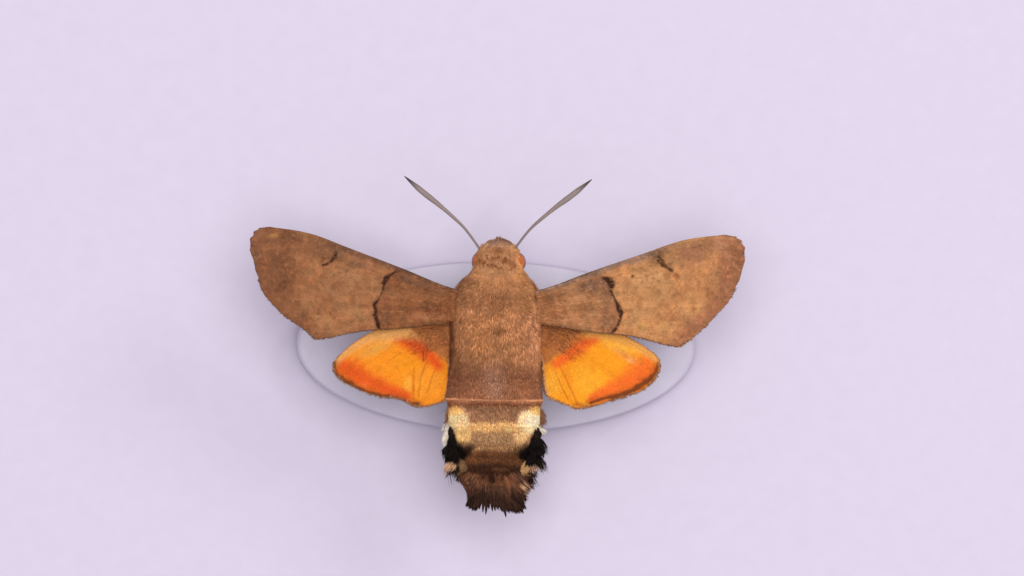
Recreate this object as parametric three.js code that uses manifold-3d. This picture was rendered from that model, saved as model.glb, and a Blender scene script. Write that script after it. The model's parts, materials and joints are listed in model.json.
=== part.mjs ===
// Hummingbird hawk moth, life size, hovering with its wings held out, on a plain display stand.
// Millimetres, +Z up, +Y towards the head, -X is the moth's left side.
// The origin is the middle of the stand's underside. The moth is the same on both sides, apart from
// the hindwings, which are swept a little differently, and the lie of single locks of scales.
import * as THREE from "three";
import { mergeVertices } from "three/addons/utils/BufferGeometryUtils.js";
import Module from "manifold-3d";

const wasm = await Module();
wasm.setup();

// Driving dimensions.
const GAP = 0.3; // left between two neighbouring pieces
const BODY_HEIGHT = 14.2; // the body's axis above the table
const HEAD_RISE = 0.5; // the head's axis above the body's
const WING_THICKNESS = 0.5;
const VEIN_HEIGHT = 0.13;
const FRINGE_DEPTH = 0.12;

// Stand.
const BASE = { halfLength: 17.8, halfDepth: 7.6, thickness: 3, chamfer: 0.5 };
const ROD = { radius: 0.8, footRadius: 1.7, footHeight: 0.5, flare: 1 };

// Cross-sections of the body with its coat: place along Y, half width, height above and below the axis.
const HEAD = [
  [9.5, 0.4, 0.15, -0.3],
  [9.3, 0.95, 0.5, -0.65],
  [8.95, 1.42, 0.9, -1.0],
  [8.5, 1.78, 1.25, -1.3],
  [7.9, 2.02, 1.52, -1.5],
  [7.2, 2.15, 1.68, -1.6],
  [6.4, 2.3, 1.75, -1.6],
  [5.4, 2.1, 1.5, -1.5],
];
const THORAX = [
  [6.35, 1.9, 1.2, -1.1],
  [6.1, 2.6, 1.75, -1.7],
  [5.5, 3.2, 2.35, -2.4],
  [4.6, 3.7, 2.85, -2.95],
  [3.4, 3.98, 3.12, -3.2],
  [1.8, 4.0, 3.15, -3.15],
  [0.2, 4.0, 2.95, -2.95],
  [-1.2, 3.98, 2.75, -2.75],
  [-1.8, 3.8, 2.6, -2.6],
];
const ABDOMEN_FRONT = [
  [-1.2, 3.7, 2.5, -2.45],
  [-2.6, 4.05, 2.72, -2.6],
  [-3.8, 4.2, 2.7, -2.58],
  [-4.6, 4.25, 2.62, -2.5],
];
const ABDOMEN_REAR = [
  [-4.9, 4.02, 2.42, -2.36],
  [-6.4, 4.0, 2.35, -2.28],
  [-8.0, 3.85, 2.15, -2.08],
  [-9.4, 3.4, 1.85, -1.8],
  [-10.5, 2.85, 1.5, -1.45],
];
const TAIL = [
  [-10.8, 2.5, 1.25, -1.2],
  [-11.6, 2.35, 1.0, -0.95],
  [-12.6, 1.9, 0.65, -0.6],
  [-13.3, 1.3, 0.3, -0.3],
];

// Flat locks of long scales at the tail, in three fans one above the other. For each: how many, where their
// roots lie and how much of the tail's width they take up, how far the outermost tips stand out, where the
// middle and the outermost tips end, and the height of roots and tips.
const VANE = { halfWidth: 0.42, halfThickness: 0.25 };
const TAIL_FANS = [
  { count: 9, rootAt: -11.6, spread: 0.64, tipOut: 2.3, tipAt: [-14.3, -13.3], rise: [0.35, 0.3] },
  { count: 10, rootAt: -11.6, spread: 0.85, tipOut: 2.85, tipAt: [-14.6, -12.75], rise: [0, -0.05] },
  { count: 8, rootAt: -11.7, spread: 0.64, tipOut: 2.3, tipAt: [-14.3, -13.4], rise: [-0.35, -0.35] },
];

// Tufts along each side of the abdomen: where the root is, and how far out and back the tip reaches.
const TUFT = { halfWidth: 0.5, halfThickness: 0.27, rootDepth: 0.35, heights: [0.75, 0.1, -0.6] };
const SIDE_TUFTS = [
  { rootAt: -5.0, tip: [4.5, -7.1] },
  { rootAt: -6.6, tip: [4.5, -8.9] },
  { rootAt: -7.9, tip: [4.4, -10.1] },
  { rootAt: -8.8, tip: [4.05, -11.0] },
  { rootAt: -9.5, tip: [3.55, -11.8] },
];

// Outlines of the right wings seen from above: leading edge, outer margin and trailing edge, from root to
// tip. root, rise, droop and camber shape the height of the wing. A vein stands up along one row of the
// wing's cells, counted back from the leading edge, from one share of the wing's length to another.
const FOREWING = {
  lead: [[1.6, 4.7], [4.3, 5.3], [8.0, 6.73], [12.5, 8.36], [16.2, 9.66], [19.9, 10.2]],
  margin: [
    [19.9, 10.2], [21.0, 9.86], [21.56, 8.6], [21.1, 7.0],
    [20.3, 4.7], [18.6, 2.7], [16.9, 1.35], [15.5, 0.4],
  ],
  trail: [[1.6, 2.35], [4.6, 2.15], [8.5, 1.6], [11.8, 1.25], [14.2, 0.62], [15.5, 0.4]],
  root: 1.25,
  rise: 0.1,
  droop: 0.0026,
  camber: 0.4,
  cellsOut: 14,
  cellsBack: 20,
  veins: [
    [2, 0, 1], [4, 0.45, 1], [6, 0.5, 1], [8, 0.5, 1],
    [10, 0.5, 1], [12, 0, 1], [14, 0.3, 1], [18, 0, 1],
  ],
};
const HINDWING = {
  lead: [[2.2, 2.2], [4.5, 2.2], [7.5, 2.1], [10.2, 1.5], [12.4, 0.35], [13.7, -0.55]],
  margin: [
    [13.7, -0.55], [14.2, -1.35], [13.95, -2.5], [12.65, -3.5],
    [9.7, -4.45], [7.1, -5.2], [5.8, -4.9], [4.5, -4.45],
  ],
  trail: [[2.4, 0.2], [4.15, -0.6], [4.4, -2.2], [4.45, -3.4], [4.5, -4.45]],
  root: -0.1,
  rise: 0.08,
  droop: 0.002,
  camber: 0.35,
  cellsOut: 10,
  cellsBack: 18,
  veins: [[2, 0, 1], [5, 0.4, 1], [7, 0.4, 1], [9, 0.4, 1], [11, 0, 1], [13, 0.2, 1], [16, 0, 1]],
};
const HINDWING_SWEEP = { left: -1.8, right: 1.8 }; // degrees forward

// Head parts of the right side, with heights above the head's axis.
const EYE = { along: 7.48, rise: -0.15, sink: 0.44, halfWidth: 0.72, halfLength: 0.88, halfHeight: 1.0 };
const ANTENNA = {
  base: [1.35, 8.3],
  path: [[1.66, 8.72, 1.5], [3.82, 11.27, 2.4], [5.05, 12.3, 2.75], [6.4, 13.33, 3.0], [8.08, 14.72, 3.1]],
  radii: [[0, 0.25], [0.3, 0.25], [0.6, 0.3], [0.82, 0.36], [0.94, 0.26], [1, 0.1]],
};
const PALP = {
  path: [[0.85, 7.0, -2.0], [0.95, 8.1, -2.05], [0.85, 9.05, -1.5], [0.5, 9.62, -0.75]],
  halfWidths: [[0, 0.35], [0.5, 0.5], [1, 0.22]],
  halfHeights: [[0, 0.5], [0.5, 0.62], [1, 0.22]],
};
const TONGUE = { radius: 0.25, tipRadius: 0.14, rootLength: 1.8 };
const COIL = { radius: 1.4, turns: 2.15, along: 8.2, rise: -3.65, start: 45 };

// Each right leg: the hip as x and y on the underside of the thorax, then knee, ankle and toe.
const LEGS = {
  fore: { hip: [1.4, 5.0], knee: [1.95, 6.8, -3.5], ankle: [1.8, 4.9, -4.15], toe: [1.6, 2.9, -4.2] },
  mid: { hip: [2.2, 3.0], knee: [3.65, 1.4, -3.45], ankle: [3.2, -1.9, -3.7], toe: [2.6, -5.0, -3.45] },
  hind: { hip: [1.6, 0.8], knee: [2.0, -1.7, -3.55], ankle: [1.75, -5.2, -3.35], toe: [1.5, -8.6, -2.95] },
};
const HIP_DEPTH = 0.35;
const LEG_RADII = {
  femur: [[0, 0.21], [0.1, 0.42], [0.5, 0.48], [0.9, 0.3], [1, 0.15]],
  tibia: [[0, 0.15], [0.1, 0.3], [0.5, 0.34], [0.9, 0.28], [1, 0.14]],
  tarsus: [[0, 0.13], [0.1, 0.26], [0.5, 0.25], [0.9, 0.22], [1, 0.11]],
};

// Helpers that turn three.js geometry into solids and back.
function reshape(geometry, place) {
  const position = geometry.attributes.position;
  const point = new THREE.Vector3();
  for (let i = 0; i < position.count; i++) {
    const moved = place(point.fromBufferAttribute(position, i));
    position.setXYZ(i, moved.x, moved.y, moved.z);
  }
  return geometry;
}

function solidOf(geometry) {
  const bare = geometry.clone();
  bare.deleteAttribute("normal");
  bare.deleteAttribute("uv");
  const merged = mergeVertices(bare, 1e-4);
  const vertProperties = new Float32Array(merged.attributes.position.array);
  const triVerts = new Uint32Array(merged.index.array);
  return new wasm.Manifold(new wasm.Mesh({ numProp: 3, vertProperties, triVerts }));
}

function geometryOf(solid) {
  const mesh = solid.getMesh();
  const geometry = new THREE.BufferGeometry();
  geometry.setAttribute("position", new THREE.BufferAttribute(new Float32Array(mesh.vertProperties), 3));
  geometry.setIndex(new THREE.BufferAttribute(new Uint32Array(mesh.triVerts), 1));
  geometry.computeVertexNormals();
  return geometry;
}

// The largest closed body of a solid, so that a cut leaves no loose scrap.
function largest(solid) {
  return solid.decompose().sort((a, b) => b.volume() - a.volume())[0];
}

// The same shape on the moth's other side, its faces turned so that they still point outwards.
function onSide(geometry, side) {
  if (side === "right") return geometry;
  geometry.scale(-1, 1, 1);
  const index = geometry.index;
  for (let i = 0; i < index.count; i += 3) {
    const second = index.getX(i + 1);
    index.setX(i + 1, index.getX(i + 2));
    index.setX(i + 2, second);
  }
  return geometry;
}

// Curves and profiles.
const vectorOf = ([x, y, z = 0]) => new THREE.Vector3(x, y, z);

const curveOf = (points) => new THREE.CatmullRomCurve3(points.map(vectorOf));

const raised = (points, height) => points.map((p) => [p[0], p[1], p[2] + height]);

// A value that passes smoothly through rows of [place, value, ...], read at `at` from one of their columns.
function profile(rows, at, column = 1) {
  const last = rows.length - 1;
  const descending = rows[0][0] > rows[last][0];
  let i = 0;
  while (i < last - 1 && (descending ? at < rows[i + 1][0] : at > rows[i + 1][0])) i++;
  const value = (k) => rows[Math.min(Math.max(k, 0), last)][column];
  const t = THREE.MathUtils.clamp((at - rows[i][0]) / (rows[i + 1][0] - rows[i][0]), 0, 1);
  const [a, b, c, d] = [value(i - 1), value(i), value(i + 1), value(i + 2)];
  return b + 0.5 * t * (c - a + t * (2 * a - 5 * b + 4 * c - d + t * (3 * (b - c) + d - a)));
}

// Height of the underside of a stretch of the body at a point of its plan.
function underside(sections, x, y) {
  const share = x / profile(sections, y, 1);
  return profile(sections, y, 3) * Math.sqrt(1 - share * share);
}

// Evenly spread numbers between -1 and 1 that look random but are the same on every run.
let seed = 7;
function jitter() {
  seed = (seed * 16807) % 2147483647;
  return (2 * seed) / 2147483647 - 1;
}

// Basic forms.

// A stretch of the body: a cylinder whose rings take the sections' widths and heights, larger all round by
// `grow`.
function stretch(sections, sides, rings, grow = 0) {
  const first = sections[0][0];
  const last = sections[sections.length - 1][0];
  const cylinder = new THREE.CylinderGeometry(1, 1, 1, sides, rings);
  return reshape(cylinder, (p) => {
    const share = 0.5 - p.y;
    const at = first + (last - first) * share;
    const endGrow = share === 0 ? grow : share === 1 ? -grow : 0;
    const halfWidth = profile(sections, at, 1) + grow;
    const height = grow + (p.z > 0 ? profile(sections, at, 2) : -profile(sections, at, 3));
    return new THREE.Vector3(p.x * halfWidth, at + endGrow, p.z * height);
  });
}

// A closed rod that follows a curve. Its half width and half height are functions of the share of its length,
// from 0 to 1, and `up` is the way its height points.
function rodAlong(curve, halfWidth, halfHeight, sides, steps, up = new THREE.Vector3(0, 0, 1)) {
  const rod = new THREE.CylinderGeometry(1, 1, 1, sides, steps);
  return reshape(rod, (p) => {
    const share = p.y + 0.5;
    const way = curve.getTangent(share);
    const across = way.clone().cross(up).normalize();
    const lift = across.clone().cross(way).normalize();
    const at = curve.getPoint(share);
    at.addScaledVector(across, p.x * halfWidth(share));
    return at.addScaledVector(lift, p.z * halfHeight(share));
  });
}

// One flat lock of long scales, from a root sunk in the body to a free tip.
function lock(root, tip, { halfWidth, halfThickness }, up) {
  const middle = root.clone().lerp(tip, 0.5).addScaledVector(up, 0.08);
  const widths = [[0, 0.7 * halfWidth], [0.45, halfWidth], [0.75, 0.8 * halfWidth], [1, 0.06]];
  const thicknesses = [[0, halfThickness], [0.7, halfThickness], [1, 0.05]];
  const width = (u) => profile(widths, u);
  const thickness = (u) => profile(thicknesses, u);
  const path = new THREE.CatmullRomCurve3([root, middle, tip]);
  return solidOf(rodAlong(path, width, thickness, 4, 4, up));
}

// Body.
const thoraxSolid = (grow = 0) => solidOf(stretch(THORAX, 24, 16, grow));
const headSolid = (grow = 0) => solidOf(stretch(HEAD, 20, 12, grow).translate(0, 0, HEAD_RISE));
const abdomenFrontSolid = (grow = 0) => solidOf(stretch(ABDOMEN_FRONT, 24, 6, grow));
const abdomenRearSolid = (grow = 0) => solidOf(stretch(ABDOMEN_REAR, 24, 10, grow));

function head() {
  let solid = headSolid().subtract(thoraxSolid(GAP));
  for (const side of SIDES) solid = solid.subtract(eyeSolid(side, GAP));
  return solid;
}

function abdomenRear() {
  let solid = abdomenRearSolid();
  for (const side of [-1, 1]) {
    for (const { rootAt, tip } of SIDE_TUFTS) {
      for (const height of TUFT.heights) {
        const out = profile(ABDOMEN_REAR, rootAt) - TUFT.rootDepth;
        const from = new THREE.Vector3(side * out, rootAt + 0.2 * jitter(), height);
        const reach = 1 + 0.08 * jitter();
        const tipOut = tip[0] - 0.25 * Math.abs(height);
        const to = new THREE.Vector3(side * tipOut, rootAt + (tip[1] - rootAt) * reach, height * 0.8 - 0.05);
        const outwards = new THREE.Vector3(side, 0.2, height).normalize();
        solid = solid.add(lock(from, to, TUFT, outwards));
      }
    }
  }
  return solid;
}

function tailFan() {
  let solid = solidOf(stretch(TAIL, 20, 6));
  const up = new THREE.Vector3(0, 0, 1);
  for (const { count, rootAt, spread, tipOut, tipAt, rise } of TAIL_FANS) {
    const rootOut = spread * profile(TAIL, rootAt);
    for (let i = 0; i < count; i++) {
      const share = (2 * i) / (count - 1) - 1;
      const end = tipAt[0] + (tipAt[1] - tipAt[0]) * share * share + 0.12 * jitter();
      const from = new THREE.Vector3(share * rootOut, rootAt, rise[0] * (1 - 0.4 * share * share));
      const to = new THREE.Vector3(share * tipOut + 0.08 * jitter(), end, rise[1]);
      solid = solid.add(lock(from, to, VANE, up));
    }
  }
  return solid;
}

// Head parts.
function eyeSolid(side, grow = 0) {
  const eye = new THREE.SphereGeometry(1, 16, 10);
  eye.scale(EYE.halfWidth + grow, EYE.halfLength + grow, EYE.halfHeight + grow);
  eye.translate(profile(HEAD, EYE.along) - EYE.sink, EYE.along, HEAD_RISE + EYE.rise);
  return solidOf(onSide(eye, side));
}

function palp(side) {
  const halfWidth = (u) => profile(PALP.halfWidths, u);
  const halfHeight = (u) => profile(PALP.halfHeights, u);
  const rod = rodAlong(curveOf(raised(PALP.path, HEAD_RISE)), halfWidth, halfHeight, 8, 8);
  return solidOf(onSide(rod, side)).subtract(headSolid(GAP)).subtract(thoraxSolid(GAP));
}

function antenna(side) {
  const radius = (u) => profile(ANTENNA.radii, u);
  const [x, y] = ANTENNA.base;
  const base = [x, y, -underside(HEAD, x, y)];
  const rod = rodAlong(curveOf(raised([base, ...ANTENNA.path], HEAD_RISE)), radius, radius, 6, 20);
  return solidOf(onSide(rod, side)).subtract(headSolid(GAP));
}

// The tongue, rolled up as a flat spiral that hangs below the head, and the short length that leads to it.
class Spiral extends THREE.Curve {
  getPoint(share, target = new THREE.Vector3()) {
    const angle = THREE.MathUtils.degToRad(COIL.start - 360 * COIL.turns * share);
    const radius = THREE.MathUtils.lerp(COIL.radius, 2 * TONGUE.tipRadius, share ** 0.85);
    const [y, z] = [radius * Math.cos(angle), radius * Math.sin(angle)];
    return target.set(0, COIL.along + y, HEAD_RISE + COIL.rise + z);
  }
}

const SIDEWAYS = new THREE.Vector3(1, 0, 0);

function tongueCoil() {
  const radius = (u) => THREE.MathUtils.lerp(TONGUE.radius, TONGUE.tipRadius, u);
  return solidOf(rodAlong(new Spiral(), radius, radius, 6, 44, SIDEWAYS));
}

function tongueBase() {
  const way = new Spiral().getTangent(0);
  const stop = new Spiral().getPoint(0).addScaledVector(way, -GAP);
  const root = stop.clone().addScaledVector(way, -TONGUE.rootLength);
  const radius = () => TONGUE.radius;
  const rod = rodAlong(new THREE.LineCurve3(root, stop), radius, radius, 8, 3, SIDEWAYS);
  return solidOf(rod).subtract(headSolid(GAP));
}

// Wings. A point of the plan comes from the four edges, blended as a Coons patch: s runs outwards and t
// backwards.
function wingPlan(wing) {
  const [lead, margin, trail] = [wing.lead, wing.margin, wing.trail].map(curveOf);
  const [rootLead, tip] = [lead.getPoint(0), lead.getPoint(1)];
  const [rootTrail, heel] = [trail.getPoint(0), trail.getPoint(1)];
  return (s, t) => {
    const corners = rootLead.clone().multiplyScalar((1 - s) * (1 - t));
    corners.addScaledVector(rootTrail, (1 - s) * t);
    corners.addScaledVector(tip, s * (1 - t));
    corners.addScaledVector(heel, s * t);
    const point = lead.getPoint(s).multiplyScalar(1 - t);
    point.addScaledVector(trail.getPoint(s), t);
    point.addScaledVector(rootLead.clone().lerp(rootTrail, t), 1 - s);
    point.addScaledVector(margin.getPoint(t), s);
    return point.sub(corners);
  };
}

// Height of a wing's middle surface: it rises from the root, droops towards the tip and bulges in mid chord.
function wingHeight(wing, x, s, t) {
  const out = x - profile(THORAX, 0);
  return wing.root + wing.rise * out - wing.droop * out * out + wing.camber * s * Math.sin(Math.PI * t);
}

// A plate whose cells follow the plan. The outer margin is scalloped: every other row of cells ends a little
// short.
function wingPlate(wing) {
  const plan = wingPlan(wing);
  const plate = new THREE.BoxGeometry(1, 1, 1, wing.cellsOut, wing.cellsBack, 1);
  return reshape(plate, (p) => {
    const s = p.x + 0.5;
    const t = 0.5 - p.y;
    const row = Math.round(t * wing.cellsBack);
    const onVein = wing.veins.some(([veinRow, from, to]) => veinRow === row && s >= from && s <= to);
    const at = plan(s, t);
    at.z = wingHeight(wing, at.x, s, t) + p.z * WING_THICKNESS;
    if (onVein && p.z > 0) at.z += VEIN_HEIGHT;
    if (s === 1 && row % 2 === 1) at.x -= FRINGE_DEPTH;
    return at;
  });
}

function forewing(side) {
  return solidOf(onSide(wingPlate(FOREWING), side)).subtract(thoraxSolid(GAP));
}

function hindwing(side) {
  const plate = wingPlate(HINDWING);
  const [hingeX, hingeY] = HINDWING.lead[0];
  plate.translate(-hingeX, -hingeY, 0);
  plate.rotateZ(THREE.MathUtils.degToRad(HINDWING_SWEEP[side]));
  plate.translate(hingeX, hingeY, 0);
  let solid = solidOf(onSide(plate, side));
  for (const body of [thoraxSolid, abdomenFrontSolid, abdomenRearSolid]) solid = solid.subtract(body(GAP));
  return solid;
}

// Legs, folded under the body as in flight. Each length is cut clear of the one it hangs from.
function limb(side, from, to, radii, grow = 0) {
  const start = vectorOf(from);
  const end = vectorOf(to);
  const way = end.clone().sub(start).normalize();
  const path = new THREE.LineCurve3(start.addScaledVector(way, -grow), end.addScaledVector(way, grow));
  const radius = (u) => profile(radii, u) + grow;
  return solidOf(onSide(rodAlong(path, radius, radius, 6, 7), side));
}

function legPieces(pair, side) {
  const { knee, ankle, toe } = LEGS[pair];
  const [x, y] = LEGS[pair].hip;
  const hip = [x, y, underside(THORAX, x, y) + HIP_DEPTH];
  const { femur, tibia, tarsus } = LEG_RADII;
  return {
    femur: limb(side, hip, knee, femur).subtract(thoraxSolid(GAP)),
    tibia: limb(side, knee, ankle, tibia).subtract(limb(side, hip, knee, femur, GAP)),
    tarsus: limb(side, ankle, toe, tarsus).subtract(limb(side, knee, ankle, tibia, GAP)),
  };
}

// Stand: an oval plate, and a rod with a flared foot that reaches up to the breast.
function turned(points, sides) {
  const outline = points.map((p) => new THREE.Vector2(p[0], p[1]));
  return new THREE.LatheGeometry(outline, sides).rotateX(Math.PI / 2);
}

function standBase() {
  const { halfLength, halfDepth, thickness, chamfer } = BASE;
  const plate = turned(
    [
      [0, 0],
      [halfLength - chamfer, 0],
      [halfLength, chamfer],
      [halfLength, thickness - chamfer],
      [halfLength - chamfer, thickness],
      [0, thickness],
    ],
    48,
  );
  return solidOf(plate.scale(1, halfDepth / halfLength, 1));
}

function standRod() {
  const { radius, footRadius, footHeight, flare } = ROD;
  const foot = BASE.thickness;
  const rod = turned(
    [
      [0, foot],
      [footRadius, foot],
      [footRadius, foot + footHeight],
      [radius, foot + footHeight + flare],
      [radius, BODY_HEIGHT],
      [0, BODY_HEIGHT],
    ],
    20,
  );
  return solidOf(rod).subtract(thoraxSolid(GAP).translate([0, 0, BODY_HEIGHT]));
}

// Materials.
function finish(color, roughness, metalness = 0) {
  return new THREE.MeshStandardMaterial({ color, roughness, metalness });
}

const MATERIALS = {
  coat: finish(0x9a6b48, 0.95),
  abdomen: finish(0x85604a, 0.95),
  tail: finish(0x3a2518, 0.95),
  forewing: finish(0xa8744c, 0.9),
  hindwing: finish(0xf09028, 0.85),
  eye: finish(0x6a3018, 0.25),
  antenna: finish(0x7d6a5c, 0.8),
  palp: finish(0xb89a7c, 0.95),
  tongue: finish(0x3b2417, 0.4),
  leg: finish(0x8a6a50, 0.9),
  base: finish(0xc4bdcf, 0.5),
  rod: finish(0xb9bcc2, 0.3, 1),
};

// The model.
const SIDES = ["left", "right"];
const model = new THREE.Group();
const moth = new THREE.Group();
const stand = new THREE.Group();
moth.position.z = BODY_HEIGHT;
model.add(moth, stand);

function add(group, name, solid, material) {
  const mesh = new THREE.Mesh(geometryOf(largest(solid)), material);
  mesh.name = name;
  group.add(mesh);
}

add(moth, "head", head(), MATERIALS.coat);
add(moth, "thorax", thoraxSolid(), MATERIALS.coat);
add(moth, "abdomen_front", abdomenFrontSolid().subtract(thoraxSolid(GAP)), MATERIALS.abdomen);
add(moth, "abdomen_rear", abdomenRear(), MATERIALS.abdomen);
add(moth, "tail_fan", tailFan(), MATERIALS.tail);
add(moth, "proboscis_base", tongueBase(), MATERIALS.tongue);
add(moth, "proboscis_coil", tongueCoil(), MATERIALS.tongue);
for (const side of SIDES) {
  add(moth, `eye_${side}`, eyeSolid(side), MATERIALS.eye);
  add(moth, `palp_${side}`, palp(side), MATERIALS.palp);
  add(moth, `antenna_${side}`, antenna(side), MATERIALS.antenna);
  add(moth, `forewing_${side}`, forewing(side), MATERIALS.forewing);
  add(moth, `hindwing_${side}`, hindwing(side), MATERIALS.hindwing);
  for (const pair of Object.keys(LEGS)) {
    for (const [piece, solid] of Object.entries(legPieces(pair, side))) {
      add(moth, `${pair}leg_${side}_${piece}`, solid, MATERIALS.leg);
    }
  }
}
add(stand, "stand_base", standBase(), MATERIALS.base);
add(stand, "stand_rod", standRod(), MATERIALS.rod);

export default model;
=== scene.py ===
# %% [markdown]
# # A hummingbird hawk moth on a display stand
#
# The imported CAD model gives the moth's true sizes and places. This lesson dresses it as a natural history
# museum would: a body covered with overlapping hair scales, four scaled wings, glossy compound eyes, and a
# plain stand. Every length below is in millimetres, and only the last step of making a mesh turns them into
# metres. The moth's nose points along +Y, its left wing lies at negative X, and the floor is at Z = 0.

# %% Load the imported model
import json
import bpy
import numpy as np
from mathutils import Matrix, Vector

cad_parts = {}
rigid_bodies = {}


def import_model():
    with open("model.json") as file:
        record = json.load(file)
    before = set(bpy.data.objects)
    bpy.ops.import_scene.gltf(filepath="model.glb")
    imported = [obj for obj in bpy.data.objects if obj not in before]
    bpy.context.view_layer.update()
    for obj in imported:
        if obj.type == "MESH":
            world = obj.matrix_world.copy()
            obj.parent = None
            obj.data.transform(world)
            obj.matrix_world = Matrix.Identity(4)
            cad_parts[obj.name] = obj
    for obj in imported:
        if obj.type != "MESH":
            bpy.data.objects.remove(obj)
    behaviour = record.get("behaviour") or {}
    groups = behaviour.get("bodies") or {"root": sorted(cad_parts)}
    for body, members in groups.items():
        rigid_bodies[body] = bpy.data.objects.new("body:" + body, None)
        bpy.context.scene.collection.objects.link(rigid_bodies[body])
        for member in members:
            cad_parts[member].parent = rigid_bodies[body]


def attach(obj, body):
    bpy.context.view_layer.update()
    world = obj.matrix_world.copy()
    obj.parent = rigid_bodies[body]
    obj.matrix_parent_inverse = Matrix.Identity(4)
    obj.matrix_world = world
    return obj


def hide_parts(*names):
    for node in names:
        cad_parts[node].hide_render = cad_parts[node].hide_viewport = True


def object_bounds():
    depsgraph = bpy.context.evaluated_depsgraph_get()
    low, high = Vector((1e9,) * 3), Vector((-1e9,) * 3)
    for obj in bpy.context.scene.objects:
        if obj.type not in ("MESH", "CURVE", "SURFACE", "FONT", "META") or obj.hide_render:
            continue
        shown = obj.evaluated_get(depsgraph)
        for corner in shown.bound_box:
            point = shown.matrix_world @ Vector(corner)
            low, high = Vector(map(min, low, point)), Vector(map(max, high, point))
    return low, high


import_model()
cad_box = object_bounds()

MM = 0.001
for corner in cad_box:
    print("CAD box corner, mm:", [round(v / MM, 2) for v in corner])

# %% [markdown]
# ## The camera
#
# The photograph looks straight down on a spread moth, a little turned. A long lens from 40 cm away keeps the
# wings flat to the eye, as a copy stand would. The lens follows from the width that the picture covers at
# the height of the wings: sensor width times distance over covered width.

# %% Camera above the moth
SENSOR = 36.0
PICTURE_WIDTH = 88.42
PICTURE_CENTRE = (1.361, 5.249)
PICTURE_TURN = 1.0
WING_PLANE = 16.0
CAMERA_DISTANCE = 400.0
NEAREST, FARTHEST = 50.0, 10000.0

lens = bpy.data.cameras.new("camera above")
lens.sensor_width = SENSOR
lens.lens = SENSOR * CAMERA_DISTANCE / PICTURE_WIDTH
lens.clip_start = NEAREST * MM
lens.clip_end = FARTHEST * MM
camera = bpy.data.objects.new("camera above", lens)
camera.location = (PICTURE_CENTRE[0] * MM, PICTURE_CENTRE[1] * MM, (WING_PLANE + CAMERA_DISTANCE) * MM)
camera.rotation_euler = (0.0, 0.0, np.radians(PICTURE_TURN))
bpy.context.scene.collection.objects.link(camera)
bpy.context.scene.camera = camera
print("lens, mm:", round(lens.lens, 1))

# %% [markdown]
# ## Colours and materials
#
# A colour picked from a screen is an sRGB value of 0 to 255. Shaders work with the amount of light
# instead, so each value goes through the sRGB curve. `paint` does that, and it divides by the brightness of
# the studio, so that a surface facing the lamps comes out in the colour that was asked for.

# %% Paint values
STUDIO_LIGHT = 1.7


def paint(*rgb):
    """Share of light for an sRGB colour: ((value + 0.055) / 1.055) to the power 2.4, or value / 12.92 where
    it is very dark, over the studio's light."""
    value = np.asarray(rgb, float) / 255
    linear = np.where(value <= 0.04045, value / 12.92, ((value + 0.055) / 1.055) ** 2.4)
    return np.clip(linear / STUDIO_LIGHT, 0, 0.95)


# %% Materials built from nodes
class Finish:
    """A node material with a Principled shader, and short ways to add nodes to it."""

    def __init__(self, name, **sockets):
        self.material = bpy.data.materials.new(name)
        self.material.use_nodes = True
        self.nodes = self.material.node_tree.nodes
        self.links = self.material.node_tree.links
        self.shader = next(node for node in self.nodes if node.type == "BSDF_PRINCIPLED")
        for socket, value in sockets.items():
            self.shader.inputs[socket.replace("_", " ")].default_value = value

    def node(self, kind, inputs=(), **settings):
        """Adds a node. A value in `inputs` is a number, a tuple or another node's output socket."""
        node = self.nodes.new("ShaderNode" + kind)
        for setting, value in settings.items():
            setattr(node, setting, value)
        for socket, value in dict(inputs).items():
            if isinstance(value, bpy.types.NodeSocket):
                self.links.new(value, node.inputs[socket])
            else:
                node.inputs[socket].default_value = value
        return node

    def place(self):
        """The place on the piece, so that a pattern stays where it is when the camera moves."""
        return self.node("TexCoord").outputs["Object"]

    def cells(self, size):
        """Small round cells about `size` mm across, like lenses or shingles seen from above."""
        return self.node("TexVoronoi", {"Vector": self.place(), "Scale": 1 / (size * MM)})

    def speckle(self, size, detail, stretch=None):
        """Soft noise whose grains are about `size` mm across, drawn out along Y by `stretch`."""
        where = self.place()
        if stretch:
            where = self.node("Mapping", {"Vector": where, "Scale": (1, 1 / stretch, 1)}).outputs[0]
        inputs = {"Vector": where, "Scale": 1 / (size * MM), "Detail": detail}
        return self.node("TexNoise", inputs).outputs["Fac"]

    def between(self, value, low, high, to_low=0.0, to_high=1.0):
        """Stretches the part from low to high so that it runs from to_low to to_high."""
        inputs = {"Value": value, "From Min": low, "From Max": high, "To Min": to_low, "To Max": to_high}
        return self.node("MapRange", inputs).outputs["Result"]

    def grain(self, size, detail, low=0.0, high=1.0, stretch=None):
        """Speckle with its middle tones, 0.3 to 0.7, stretched to run from low to high."""
        return self.between(self.speckle(size, detail, stretch), 0.3, 0.7, low, high)

    def scaled(self, colour, factor):
        """A colour made darker or lighter: colour times factor."""
        node = self.node("VectorMath", {0: colour, "Scale": factor}, operation="SCALE")
        return node.outputs["Vector"]

    def mixed(self, factor, first, second):
        """Two painted colours, the node's inputs 6 and 7: first * (1 - factor) + second * factor."""
        inputs = {"Factor": factor, 6: (*first, 1), 7: (*second, 1)}
        return self.node("Mix", inputs, data_type="RGBA").outputs[2]

    def bump(self, height, distance, strength=1.0):
        """Small relief: height 0 to 1 stands for 0 to `distance` mm."""
        inputs = {"Height": height, "Distance": distance * MM, "Strength": strength}
        self.set("Normal", self.node("Bump", inputs).outputs["Normal"])

    def set(self, socket, value):
        """Leads a node's output into one of the shader's sockets."""
        self.links.new(value, self.shader.inputs[socket])

    def tone(self):
        """The colour that numpy painted onto the mesh."""
        return self.node("Attribute", attribute_name="tone").outputs["Color"]


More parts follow.
